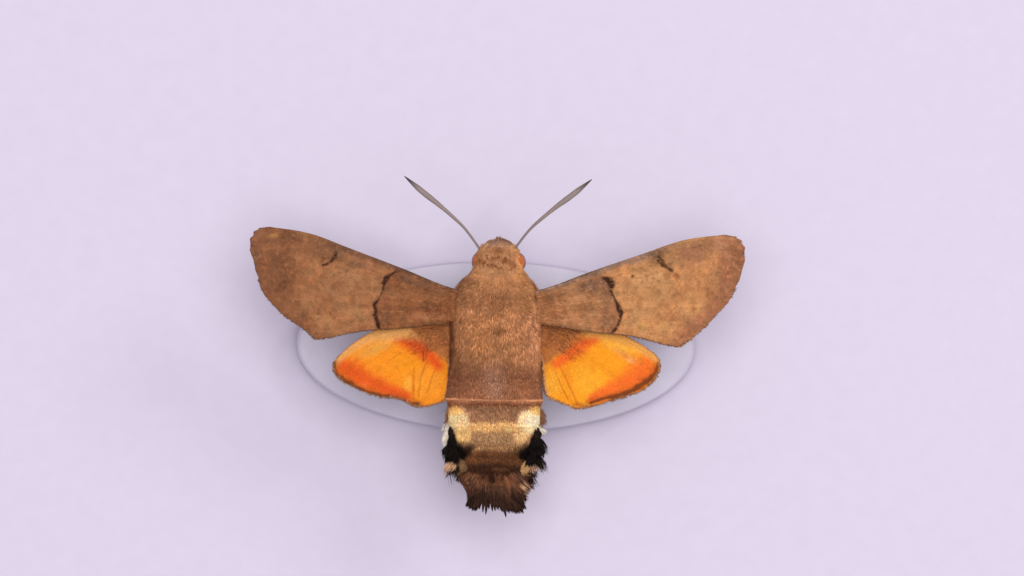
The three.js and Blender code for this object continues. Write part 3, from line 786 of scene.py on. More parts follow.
# %% Fur of the head
EYE = {"x": 1.66, "y": 7.48, "z": AXIS + 0.35, "half": (0.72, 0.88, 1.0)}
# The bare place round each eye: how far its middle lies ahead of and above the eye's, and its half sizes.
BARE = {"shift": (0.03, -0.14), "half": (0.66, 0.70)}
# The face's hair ends at two straight edges that meet in a point, seen from above, and fall off from there.
WEDGE = {"x": 0.25, "y": 9.73, "width_over_length": 1.9}


def head_fur(count, span):
    """Behind the crown the hair runs back, at the crown it parts to the sides, and on the face it runs
    forward and together, up to the wedge: the turn grows from 0 to a little past half a circle."""
    y, angle = body_roots(count, span, ALL_ROUND)
    _, ahead, up = body_point(y, angle).T
    ahead = (ahead - EYE["y"] - BARE["shift"][0]) / BARE["half"][0]
    up = (up - EYE["z"] - BARE["shift"][1]) / BARE["half"][1]
    from_eye = np.hypot(ahead, up)
    keep = from_eye > 1 + 0.1 * rng.random(len(y))
    y, angle = y[keep], angle[keep]
    forward = fade(y, 8.2, 9.1)
    both = np.sin(2 * angle)
    turn = -np.sign(both) * forward * (np.pi + 0.45 * np.abs(both)) + 0.25 * both * (1 - forward)
    length = 0.48 - 0.06 * forward
    aside = np.abs(body_point(y, angle)[:, 0] - WEDGE["x"])
    to_wedge = WEDGE["y"] - aside / WEDGE["width_over_length"] - y
    length = np.where(y > 8.9, np.clip(to_wedge, 0.14, length), length)
    stand = (0.2 - 0.08 * forward) * (1 + 0.7 * np.abs(np.cos(angle)) * fade(y, 7.3, 6.6))
    return coat(y, angle, length, 0.06, stand, turn=turn, lock=0.35, tone=body_tone)


# %% Hair at the feelers and on the crown
# The sign of X on each side of the moth.
SIDES = {"left": -1, "right": 1}


def side_angle(side, up):
    """The angle round the body of a place `up` radians above its widest line, on one side."""
    return up if side == "right" else np.pi - up


def feeler_collar(side, count=420):
    """Short hair that stands round the root of a feeler at all angles and hides the joint."""
    y = 8.25 + 0.45 * rng.random(count)
    up = np.radians(6 + 38 * rng.random(count))
    turn = -SIDES[side] * (np.pi - 0.9 + 1.8 * rng.random(count))
    return coat(y, side_angle(side, up), 0.28, 0.055, 0.26, turn=turn, tone=body_tone, curl=1.0)


def crown_tuft(count=1500):
    """The parting on the crown, where hair lies every way and stands up a little."""
    y = 8.62 + 0.22 * rng.standard_normal(count)
    angle = np.pi / 2 + 0.30 * rng.standard_normal(count)
    turn = 2 * np.pi * rng.random(count)
    return coat(y, angle, 0.26, 0.055, 0.22, turn=turn, tone=body_tone, curl=1.0)


coat_piece("fur_head", "coat", head_fur(17000, (5.9, 9.49)), head_fur(5500, (8.7, 9.49)),
           *map(feeler_collar, SIDES), crown_tuft())

# %% [markdown]
# ### Abdomen
#
# The scales of the abdomen are flatter, and each ring ends in a fringe of longer ones that lies over the next
# ring. Pale and dark side tufts stand out at its edges. A hawk moth steers with them in flight.

# %% Scales of the abdomen
def abdomen_scales(count, span, length):
    """Flat scales all round the body."""
    y, angle = body_roots(count, span, ALL_ROUND)
    return coat(y, angle, length, width=0.085, rise=0.16, lock=0.35, tone=body_tone)


coat_piece("scales_abdomen_front", "abdomen", abdomen_scales(12500, (-4.75, -1.2), 0.65))
coat_piece("scales_abdomen_rear", "abdomen", abdomen_scales(20200, (-11.6, -4.85), 0.52))


# %% Fringes of the rings
def ring_fringe(edge, count=1300):
    """Longer scales whose roots lie up to 0.35 mm in front of a ring's edge, all the way round."""
    angle = 2 * np.pi * (np.arange(count) + rng.random(count)) / count
    y = edge + 0.35 * rng.random(count)
    return coat(y, angle, 0.6, 0.09, 0.18, lock=0.3, tone=body_tone)


def pale_line(count=1000):
    """The thin pale line across the waist: short scales that stand a little higher than the others."""
    angle = np.pi * (0.05 + 0.9 * (np.arange(count) + rng.random(count)) / count)
    y = -4.36 + 0.035 * rng.standard_normal(count)
    there = 0.18 + 0.50 * np.abs(np.cos(angle)) + 0.25 * mottle(np.stack([0 * y, 4 * angle], -1), 0.5, 32)
    tone = np.broadcast_to(brightened(paint(150, 104, 76)), (count, 3))
    tone = lay_over(tone, there, brightened(paint(206, 144, 106)))
    return coat(y, angle, 0.16, 0.08, 0.21, tone=tone, lock=0.1, curl=0.4)


coat_piece("scales_ring_fringes", "abdomen", pale_line(), *map(ring_fringe, RING_EDGES[:5]))

# %% Side tufts
# Side, number, place along the body, degrees up, length, how far out, colour, width.
SIDE_TUFTS = [
    ("left", 400, (-5.0, -6.3), (-34, 4), 0.6, 0.42, (136, 100, 70), 0.1),
    ("right", 460, (-4.9, -6.3), (-34, 6), 0.6, 0.52, (134, 98, 72), 0.1),
    ("left", 900, (-6.3, -8.0), (-26, 6), 0.75, 0.66, (246, 226, 214), 0.1),
    ("right", 320, (-6.4, -7.1), (-18, 6), 0.5, 0.54, (238, 222, 208), 0.09),
    ("left", 260, (-6.6, -7.4), (8, 22), 0.7, 0.22, (26, 17, 13)),
    ("right", 360, (-6.7, -7.4), (-10, 22), 0.7, 0.34, (26, 17, 13)),
    ("left", 500, (-7.4, -8.3), (-20, 30), 0.8, 0.40, (14, 9, 7)),
    ("left", 1000, (-8.1, -9.0), (-40, 30), 0.9, 0.78, (14, 9, 7)),
    ("right", 1500, (-7.5, -9.1), (-40, 30), 0.9, 0.78, (14, 9, 7)),
    ("left", 700, (-8.6, -9.9), (-38, 4), 0.9, 1.05, (34, 23, 16)),
    ("right", 900, (-8.7, -10.1), (-38, 6), 0.9, 1.15, (32, 21, 15)),
    ("left", 380, (-9.2, -10.0), (-8, 10), 0.5, 1.05, (240, 184, 154), 0.08),
    ("right", 260, (-9.5, -10.1), (4, 13), 0.4, 1.30, (228, 184, 166), 0.08),
    ("left", 300, (-9.3, -10.6), (4, 38), 0.6, 0.30, (116, 91, 64), 0.06),
    ("right", 380, (-9.4, -10.6), (2, 34), 0.6, 0.42, (172, 138, 97), 0.06),
    ("left", 300, (-10.0, -10.8), (-35, 10), 0.8, 0.76, (44, 30, 20)),
    ("right", 480, (-10.2, -11.4), (-35, 4), 0.9, 1.15, (36, 23, 16)),
    ("left", 160, (-10.6, -11.4), (10, 40), 0.8, 0.30, (66, 48, 34)),
]
# A tuft counts as pale where its red is above this.
PALE_RED = 90


def side_tuft(side, count, span, arc, length, stand, colour, width=0.12):
    """Long scales on one side of the body. A pale tuft is denser in its middle, and scales at its edges are
    darker, so that it blends with the dark ones."""
    spot = rng.random((2, count))
    pale = colour[0] > PALE_RED
    if pale:
        spot = 0.5 * (spot + rng.random((2, count)))
    y = within(span, spot[0])
    up = np.radians(within(arc, spot[1]))
    tone = brightened(paint(*colour)) * (1 + 0.15 * mottle(np.stack([y, 9 * up], -1), 0.5, 31))[:, None]
    edge = np.abs(2 * spot - 1).max(0)
    tone = lay_over(tone, pale * 0.5 * edge**2 * rng.random(count), brightened(paint(50, 34, 24)))
    return coat(y, side_angle(side, up), length, width, stand, turn=jitter(count, 0.2), tone=tone, steps=4,
                swell=(0.7, 1.0, 0.9), curl=0.7)


coat_piece("side_tufts", "abdomen", *[side_tuft(*row) for row in SIDE_TUFTS])

# %% [markdown]
# ### Tail fan
#
# The last ring carries a flat fan of long dark vanes. They start in three tiers, one over the other, and end
# in a ragged line of points. Each vane is a bent path from a root on the skin to a tip on that line.

# %% Vanes of the tail
# Where the points of the fan end: place across, place along.
FAN_EDGE = np.array([
    (-4.0, -10.9), (-3.4, -11.4), (-3.0, -12.0), (-2.8, -12.7), (-2.6, -13.3), (-2.3, -14.0), (-1.7, -14.15),
    (-1.2, -13.8), (-0.8, -14.3), (-0.6, -14.55), (-0.2, -14.0), (0.1, -14.35), (0.5, -14.1), (0.9, -14.3),
    (1.15, -14.75), (1.4, -14.2), (2.1, -14.45), (2.6, -14.3), (3.05, -14.1), (3.3, -13.2), (3.7, -12.6),
    (3.95, -12.0), (4.1, -11.4), (4.3, -10.8),
])
# Tiers: number, where roots start and end along, half turns round the body, how high the tips lie, how long.
TIERS = [
    (1900, (-10.5, -11.4), (0.04, 0.96), 0.62, 1.3), (1900, (-11.1, -12.1), (0.02, 0.98), 0.42, 1.4),
    (1700, (-11.6, -12.8), (-0.06, 1.06), 0.12, 9.0), (700, (-10.8, -12.6), (-0.90, -0.10), -0.35, 1.6),
]
# How much wider than its roots the fan is, how far it lies to the right, and how far apart its locks are.
FAN_SPREAD, FAN_ASIDE, LOCK_GAP = 1.85, 0.3, 0.3


def tail_tier(count, span, arc, level, longest):
    """Tips gather in locks and end at the fan's edge, or `longest` behind the root. Each path is a quadratic
    curve: root * (1 - share)^2 + middle * 2 share (1 - share) + tip * share^2."""
    y = within(span, rng.random(count))
    angle = np.pi * within(arc, rng.random(count))
    root, out, _, _ = body_frame(y, angle)
    across = root[:, 0] * FAN_SPREAD + FAN_ASIDE + jitter(count, 0.25)
    number = np.round(across / LOCK_GAP)[:, None]
    across = across + 0.75 * (LOCK_GAP * number[:, 0] + 0.08 * mottle(number, 1.0, 33) - across)
    reach = np.interp(across, FAN_EDGE[:, 0], FAN_EDGE[:, 1]) + 0.25 * mottle(number, 1.0, 34)
    tip_y = np.maximum(reach, y - longest * (1 + 0.35 * mottle(number, 1.0, 35)))
    tip_y = np.minimum(tip_y + 0.9 * rng.random(count) ** 3, y - 0.5)
    across = root[:, 0] + (across - root[:, 0]) * np.minimum(1, (y - tip_y) / 1.8)
    height = AXIS + level - 0.12 * (y - tip_y) + jitter(count, 0.12)
    tip = np.stack([across, tip_y, height], -1)
    middle = 0.5 * (root + tip) + out * 0.12 + [0, 0, 0.08]
    share = np.linspace(0, 1, 5)[None, :, None]
    ends = root[:, None] * (1 - share) ** 2 + tip[:, None] * share**2
    paths = ends + 2 * share * (1 - share) * middle[:, None] - out[:, None] * 0.05 * (1 - share)
    shade = spread(np.ones(count), 0.3) + 0.12 * mottle(number, 1.0, 36)
    tone = body_tone(paths[:, 2]) * shade[:, None]
    width = 0.06 + 0.06 * rng.random(count)
    place = np.stack([angle / (2 * np.pi) % 1, (y - span[1]) / (span[0] - span[1])], -1)
    up = np.broadcast_to([0.0, 0.0, 1.0], root.shape) + 0.3 * out
    return blades(paths, up, width, 0.3 * width, (0.5, 0.9, 1.0, 0.7), tone, place)


coat_piece("tail_fan_vanes", "tail", *[tail_tier(*tier) for tier in TIERS])

# %% [markdown]
# ## Head parts
#
# The eyes are large globes on the sides of the head, made of thousands of tiny lenses, and they shine. The
# feelers are clubs of some ninety short rings that swell towards the tip and end in a hook. Two scaly palps
# curve up in front of the face and form its beak, and the tongue is rolled up like a watch spring between
# them.

# %% Eyes
eye_finish = Finish("eye", Roughness=0.3, Specular_IOR_Level=0.35, IOR=1.4, Coat_Weight=0.15,
                    Coat_Roughness=0.1)
lenses = eye_finish.cells(0.045).outputs["Distance"]
shade = eye_finish.between(lenses, 0, 0.7, 1.15, 0.65)
eye_finish.set("Base Color", eye_finish.scaled(eye_finish.tone(), shade))
eye_finish.bump(lenses, -0.01)
# The globe is a little smaller than the CAD's eye, so that the hair at its rim covers the seam, and both
# globes lie a little to the right with the turned head.
GLOBE_FIT = 0.96
EYES_ASIDE = 0.17


def eye_tone(points):
    """Amber on top, dark red at the rear and brown below, with a dark spot and a few soft dark patches."""
    _, y, z = points.T
    tone = lay_bands(plain(z.shape, 96, 50, 32), z, [(EYE["z"] + 0.1, EYE["z"] + 0.65, 226, 120, 58)])
    tone = lay_bands(tone, y, [(7.2, 6.85, 60, 26, 16)])
    tone = lay_bands(tone, z, [(EYE["z"] - 0.2, EYE["z"] - 0.8, 70, 42, 30)])
    spot = fade(np.hypot((y - 7.45) / 0.20, (z - EYE["z"] + 0.05) / 0.24), 1.3, 0.6)
    spots = np.maximum(spot, 0.6 * fade(mottle(points, 0.3, 41), 0.5, 0.8))
    return lay_over(tone, spots, paint(30, 15, 11))


def eye(side, rows=72, sides=96):
    """Ellipsoid: centre + half * (cos a, sin a cos b, sin a sin b), where a runs from pole to pole and b
    round the axis between them. The poles point sideways."""
    down, around = np.meshgrid(np.linspace(0.02, np.pi - 0.02, rows), circle(sides), indexing="ij")
    ball = np.stack([np.cos(down), np.sin(down) * np.cos(around), np.sin(down) * np.sin(around)], -1)
    points, faces = shell(ball * EYE["half"] * GLOBE_FIT + [EYE["x"], EYE["y"], EYE["z"]])
    tone = eye_tone(points)
    points = points * [SIDES[side], 1, 1] + [EYES_ASIDE, 0, 0]
    make_piece(f"eye_{side}_globe", points, outward(points, faces), eye_finish, "eye", ("eye_" + side,), tone)


for side in SIDES:
    eye(side)

# %% Feelers
# Heights in the head count from the head's own middle, this far above the thorax's.
HEAD_RISE = 0.5
FEELER = [(1.26, 8.22, -0.05), (1.62, 8.76, 0.62), (2.84, 10.35, 1.75), (3.82, 11.27, 2.4),
          (5.05, 12.3, 2.75), (6.4, 13.33, 3.0), (8.08, 14.72, 3.1)]
FEELER_RINGS = 92
FEELER_SIDES = 20
# Shares of the feeler's length and half widths there.
FEELER_WIDTHS = np.array([(0, 0.21), (0.06, 0.17), (0.10, 0.09), (0.35, 0.11), (0.60, 0.16), (0.78, 0.24),
                          (0.88, 0.23), (0.95, 0.12), (0.985, 0.06), (1, 0.02)])
feeler_finish = Finish("feeler", Roughness=0.6, Specular_IOR_Level=0.3, Sheen_Weight=0.2)
fleck = feeler_finish.grain(0.06, 3, 0.8, 1.2)
feeler_finish.set("Base Color", feeler_finish.scaled(feeler_finish.tone(), fleck))
feeler_finish.bump(feeler_finish.speckle(0.04, 2), 0.015)


def feeler(side):
    """A tube along a smooth curve: width = table * (1 + 0.1 * |sin(pi * rings * share)|), so that each ring
    is a low barrel. The tip hooks down. The feeler is paler on top and darker at the tip."""
    share = np.linspace(0, 1, 6 * FEELER_RINGS + 1)
    path = curve(FEELER, share) + [0, 0, AXIS + HEAD_RISE]
    path[:, 2] -= 0.35 * fade(share, 0.93, 1.0)
    widths = np.interp(share, *FEELER_WIDTHS.T)
    widths = widths * (1 + 0.10 * np.abs(np.sin(np.pi * FEELER_RINGS * share)) * fade(share, 0.05, 0.1))
    points, faces = tube(path, widths, 0.85 * widths, sides=FEELER_SIDES)
    along = np.repeat(share, FEELER_SIDES)
    turn = np.tile(np.arange(FEELER_SIDES) + 0.5, len(share)) / FEELER_SIDES * 2 * np.pi
    tone = lay_bands(plain(along.shape, 96, 80, 74), np.sin(turn), [(0.1, 0.8, 150, 132, 124)])
    tone = lay_bands(tone, along, [(0.86, 0.97, 66, 50, 44), (0.09, 0.04, 150, 104, 70)])
    points = points * [SIDES[side], 1, 1]
    make_piece(f"feeler_{side}", points, outward(points, faces), feeler_finish, "antenna",
               ("antenna_" + side,), tone)


for side in SIDES:
    feeler(side)


# %% Coats on limbs
def limb_frame(path_of, half_width, half_height):
    """The frame of a rod for `hair_paths`. path_of gives its middle line at a share of its length, and the
    half sizes are tables of share and size. The way out is across * cos / width + lift * sin / height."""
    length = np.linalg.norm(np.diff(path_of(np.linspace(0, 1, 60)), axis=0), axis=-1).sum()

    def frame_of(share, angle):
        """The point on the rod, the way out, and how far one step of angle and of share goes."""
        share = np.clip(share, 0, 1)
        middle = path_of(share)
        way = unit(path_of(np.minimum(share + 0.01, 1)) - path_of(np.maximum(share - 0.01, 0)))
        across = unit(np.cross(way, (0, 0, 1)))
        lift = np.cross(across, way)
        wide = np.interp(share, *np.transpose(half_width))[..., None]
        high = np.interp(share, *np.transpose(half_height))[..., None]
        c, s = np.cos(angle)[..., None], np.sin(angle)[..., None]
        out = unit(across * c / wide + lift * s / high)
        reach = np.hypot(wide * s, high * c)[..., 0]
        return middle + across * c * wide + lift * s * high, out, reach, length

    return frame_of


def scaled_limb(path_of, half_width, half_height, count, length, width, rise, tone):
    """A rod and the coat on it, as one bunch for coat_piece. Roots stop short of the rod's end."""
    frame_of = limb_frame(path_of, half_width, half_height)
    share, angle = np.meshgrid(np.linspace(0, 1, 40), circle(14), indexing="ij")
    points, faces = shell(frame_of(share, angle)[0])
    # The rod is painted at 0.6 of its scales' colour: painted shade under the coat of scales.
    rod = points, faces, tone(points) * 0.6, np.stack([angle / (2 * np.pi), share], -1).reshape(-1, 2)
    along, around = evenly(count) * [[0.97], [2 * np.pi]]
    hair = coat(along, around, length, width, rise, tone, frame_of=frame_of, sink=0.02, lock=0.2)
    return joined_blades([rod, hair])


def mirrored(bunch, side):
    """The bunch on the moth's other side, with its faces turned so that they point outwards."""
    if side == "right":
        return bunch
    points, faces, tones, places = bunch
    return points * [-1, 1, 1], faces[:, ::-1], tones, places


# %% Palps
PALP = np.array([(0.85, 7.0, -2.0), (0.90, 8.0, -2.05), (0.66, 8.75, -1.65), (0.34, 9.20, -1.15)])
# Shares of the palp's length and half sizes there.
PALP_WIDTHS = [(0, 0.30), (0.5, 0.46), (0.85, 0.34), (0.95, 0.2), (1, 0.02)]
PALP_HEIGHTS = [(0, 0.42), (0.5, 0.54), (0.85, 0.40), (0.95, 0.24), (1, 0.02)]


def palp_path(share):
    """The palp's middle line, on the right side."""
    return curve(PALP + [0, 0, AXIS + HEAD_RISE], share)


def palp_tone(points):
    """Cream below, and brown like the head on top."""
    height = points[..., 2] - AXIS + 0.2 * mottle(points, 0.4, 52)
    tone = lay_bands(plain(height.shape, 216, 202, 182), height, [(-1.5, -0.8, 158, 114, 84)])
    return brightened(tone) * (1 + 0.12 * mottle(points, 0.2, 51))[..., None]


for side in SIDES:
    palp = scaled_limb(palp_path, PALP_WIDTHS, PALP_HEIGHTS, 2600, 0.4, 0.07, 0.14, palp_tone)
    coat_piece(f"palp_{side}_scales", "palp", mirrored(palp, side), replaces=("palp_" + side,))

# %% Tongue
# The spiral: outer and inner radius, turns, the middle's place, and the angle at which it starts.
COIL = {"outer": 1.42, "inner": 0.3, "turns": 4.1, "y": 8.2, "z": AXIS + HEAD_RISE - 3.65, "start": 45.0}
# How long the straight root of the tongue is, above the spiral.
ROOT_LENGTH = 2.0
tongue_finish = Finish("tongue", Roughness=0.35, Specular_IOR_Level=0.5)
ridges = tongue_finish.grain(0.05, 3)
tongue_finish.set("Base Color", tongue_finish.mixed(ridges, paint(46, 28, 20), paint(98, 62, 38)))
tongue_finish.bump(ridges, 0.015)


def tongue():
    """A straight root, then a spiral in the plane between the palps: centre + radius * (cos, sin), where the
    radius falls evenly from outer to inner while the angle runs back by so many turns."""
    share = np.linspace(0, 1, 520)
    angle = np.radians(COIL["start"] - 360 * COIL["turns"] * share)
    radius = within((COIL["outer"], COIL["inner"]), share)
    spiral = np.stack([0 * share, COIL["y"] + radius * np.cos(angle), COIL["z"] + radius * np.sin(angle)], -1)
    back = unit(spiral[0] - spiral[1])
    root = spiral[0] + back * np.linspace(ROOT_LENGTH, 0.05, 30)[:, None]
    path = np.vstack([root, spiral])
    thick = np.interp(np.linspace(0, 1, len(path)), [0, 0.3, 1], [0.15, 0.125, 0.05])
    thick = thick * (1 + 0.05 * np.cos(np.arange(len(path)) * 2.4))
    points, faces = tube(path, thick, 0.85 * thick, up=(1, 0, 0))
    make_piece("tongue_spring", points, faces, tongue_finish, "tongue", ("proboscis_base", "proboscis_coil"))


tongue()

# %% [markdown]
# ## Wings
#
# A wing is a clear membrane on stiff veins, shingled on both sides with thousands of scales that carry the
# colour. Its plan is stretched between three edges, the leading edge, the outer margin and the trailing edge,
# by a Coons patch: the two blends between opposite edges are added, and the blend of the corners is taken
# off. The height comes from a rise, a droop and a bulge, as in the CAD, with veins raised and pleats between.

# %% Edges of the wings
# Each edge is a smooth curve through points (place across, place along), drawn for a right wing. "shape" is
# the height at the root, the rise outwards, the droop and the bulge. A vein is (share of the way from the
# leading edge to the trailing edge, share of the way out where it begins). "sweep" is in degrees.
FOREWING_LEAD = [(1.6, 4.7), (4.3, 5.3), (8.0, 6.73), (12.5, 8.36), (16.2, 9.66), (19.9, 10.2)]
FOREWING = {
    "lead": {"left": FOREWING_LEAD, "right": FOREWING_LEAD},
    "margin": {
        "left": [(19.9, 10.2), (21.0, 9.9), (21.5, 8.6), (21.05, 7.0), (20.35, 4.7), (18.6, 2.7),
                 (16.75, 1.5), (15.4, 0.4)],
        "right": [(19.9, 10.2), (21.1, 9.86), (21.6, 8.6), (21.25, 6.8), (20.4, 4.7), (18.65, 2.65),
                  (17.1, 1.2), (15.8, 0.3)],
    },
    "trail": [(1.6, 2.35), (4.6, 2.15), (8.5, 1.6), (11.8, 1.25), (14.2, 0.62), (15.5, 0.4)],
    "shape": (1.25, 0.1, 0.0026, 0.4),
    "veins": [(0.10, 0.0), (0.20, 0.45), (0.30, 0.5), (0.40, 0.5), (0.50, 0.5), (0.60, 0.0), (0.70, 0.3),
              (0.90, 0.0)],
    "sweep": {"left": 0.0, "right": 0.0},
}
HINDWING = {
    "lead": {
        "left": [(2.2, 2.5), (4.5, 2.45), (7.5, 2.25), (10.2, 1.75), (12.4, 0.55), (13.7, -0.55)],
        "right": [(2.2, 2.5), (4.5, 2.45), (7.5, 2.15), (10.2, 1.5), (12.4, 0.35), (13.7, -0.55)],
    },
    "margin": {
        "left": [(13.7, -0.55), (14.2, -1.35), (13.85, -2.35), (12.5, -3.25), (10.3, -4.1), (8.6, -4.3),
                 (7.0, -5.0), (5.8, -4.9), (4.3, -4.4)],
        "right": [(13.7, -0.55), (14.2, -1.35), (13.95, -2.55), (12.65, -3.75), (9.9, -4.6), (7.1, -5.25),
                  (5.8, -4.75), (4.3, -4.1)],
    },
    "trail": [(2.4, 0.2), (3.95, -0.6), (4.1, -2.2), (4.1, -3.4), (4.3, -4.4)],
    "shape": (-0.1, 0.08, 0.002, 0.35),
    "veins": [(0.11, 0.0), (0.28, 0.4), (0.39, 0.4), (0.50, 0.4), (0.61, 0.0), (0.72, 0.2), (0.89, 0.0)],
    "sweep": {"left": -1.8, "right": 1.8},
}
for wing_name, wing in (("forewing", FOREWING), ("hindwing", HINDWING)):
    print(wing_name, "reaches out to, mm:", {side: max(wing["margin"][side])[0] for side in SIDES})


# %% Plan and height of the wings
# The place across from which a wing's rise and droop are counted.
WING_FOOT = 4.0


def wing_surface(wing, side, s, t):
    """Middle surface of a right wing, swept as that side's wing is. s runs outwards and t backwards, from 0
    to 1: lead and trail blended by t, plus root and margin blended by s, less the blend of the four corners.
    height = root + rise * out - droop * out^2 + bulge * s * sin(pi * t)."""
    edges = (wing["lead"][side], wing["margin"][side], wing["trail"])
    lead, margin, trail = (np.array(edge) for edge in edges)
    trail[-1] = margin[-1]
    s, t = np.broadcast_arrays(s, t)
    near, far = s[..., None], t[..., None]
    plan = (1 - far) * curve(lead, s) + far * curve(trail, s)
    plan = plan + (1 - near) * ((1 - far) * lead[0] + far * trail[0]) + near * curve(margin, t)
    plan = plan - (1 - near) * (1 - far) * lead[0] - (1 - near) * far * trail[0]
    plan = plan - near * (1 - far) * margin[0] - near * far * margin[-1]
    root, rise, droop, bulge = wing["shape"]
    out = plan[..., 0] - WING_FOOT
    height = root + rise * out - droop * out**2 + bulge * s * np.sin(np.pi * t)
    turn = np.radians(wing["sweep"][side])
    dx, dy = plan[..., 0] - lead[0, 0], plan[..., 1] - lead[0, 1]
    x = lead[0, 0] + dx * np.cos(turn) - dy * np.sin(turn)
    y = lead[0, 1] + dx * np.sin(turn) + dy * np.cos(turn)
    return np.stack([x, y, AXIS + height], -1)


# Half width of a vein, as a share of the way from the leading edge to the trailing edge.
VEIN_WIDTH = 0.009


def vein_relief(wing, s, t):
    """1 on a vein's crest and 0 away from it: a bell curve across each vein, exp(-(distance / width)^2).
    Veins wander a little and fade in where they begin."""
    relief = np.zeros(np.shape(s))
    for row, start in wing["veins"]:
        middle = row + 0.010 * np.sin(7 * s + 20 * row)
        crest = np.exp(-(((t - middle) / VEIN_WIDTH) ** 2)) * fade(s, start - 0.02, start + 0.08)
        relief = np.maximum(relief, crest)
    return relief


# %% [markdown]
# ### Markings of the wings
#
# The forewings are golden brown, with a duller base that ends at a dark wavy line, a second dark mark on the
# leading edge, and a brown outer border. The hindwings glow orange, redder at the root and near the tip, with
# a dark ragged margin and two brown folds. Each side is painted from its own few points, because no two wings
# of a real moth match. A line is a row of points with a half width at each.


# %% Lines of colour
def line_mask(x, y, rows, seed, ragged=0.35, soft=0.0):
    """1 on a line through rows of (x, y, half width), 0 away from it: distance to the nearest stretch against
    the half width there, with soft noise on the edge."""
    rows = np.asarray(rows, float)
    here = np.stack([x, y], -1)
    closest = np.full(np.shape(x), 9.0)
    for start, end in zip(rows[:-1], rows[1:]):
        way = end[:2] - start[:2]
        share = np.clip(((here - start[:2]) @ way) / (way @ way), 0, 1)
        gap = np.linalg.norm(here - start[:2] - share[..., None] * way, axis=-1)
        closest = np.minimum(closest, gap / (start[2] + (end[2] - start[2]) * share))
    closest = closest + ragged * mottle(here, 0.3, seed) * np.minimum(1, closest)
    return fade(closest, 1.35 + soft, 0.65 - soft)


# %% Where the forewing's marks are
# Each line is a row of points: place across, place along, half width.
DARK_LINE = {
    "right": [(9.2, 6.25, 0.08), (9.45, 6.18, 0.13), (9.8, 6.0, 0.19), (9.95, 5.6, 0.19), (9.9, 5.25, 0.10),
              (10.0, 4.9, 0.06), (10.3, 4.35, 0.07), (10.5, 3.95, 0.12), (10.65, 3.6, 0.15),
              (10.85, 3.25, 0.15), (10.75, 2.8, 0.07), (10.6, 2.3, 0.07), (10.4, 1.9, 0.09),
              (10.15, 1.6, 0.07)],
    "left": [(8.7, 6.5, 0.05), (9.2, 6.15, 0.08), (9.5, 5.9, 0.15), (9.68, 5.45, 0.15), (9.72, 5.2, 0.06),
             (9.9, 4.6, 0.03), (10.15, 4.05, 0.07), (10.5, 3.6, 0.11), (10.35, 3.1, 0.09), (10.47, 2.7, 0.12),
             (10.25, 2.2, 0.13), (10.15, 1.8, 0.12), (10.05, 1.45, 0.08)],
}
EDGE_MARK = {
    "right": [(13.95, 8.15, 0.16), (14.15, 7.8, 0.30), (14.35, 7.45, 0.20), (14.75, 7.2, 0.16),
              (15.1, 7.0, 0.15)],
    "left": [(13.9, 8.05, 0.18), (14.0, 7.7, 0.20), (14.25, 7.3, 0.12), (14.7, 7.0, 0.14), (15.0, 6.95, 0.1)],
}
PALE_LINES = {
    "right": [[(18.2, 9.05, 0.05), (19.2, 8.7, 0.05), (21.0, 8.0, 0.07)],
              [(19.2, 6.75, 0.05), (20.1, 6.45, 0.06)]],
    "left": [[(20.4, 8.2, 0.05), (18.2, 8.45, 0.05), (16.6, 8.46, 0.04)],
             [(13.2, 4.35, 0.04), (11.0, 4.5, 0.04)]],
}
# Where the brown border begins: place along the body and place across.
BORDER = {
    "right": [(0.5, 14.9), (2.0, 15.9), (3.0, 17.0), (4.0, 18.1), (5.5, 18.7), (8.0, 18.8), (10.0, 18.6)],
    "left": [(0.5, 14.3), (2.0, 15.6), (3.0, 16.5), (5.0, 17.3), (8.0, 17.4), (10.0, 17.3)],
}

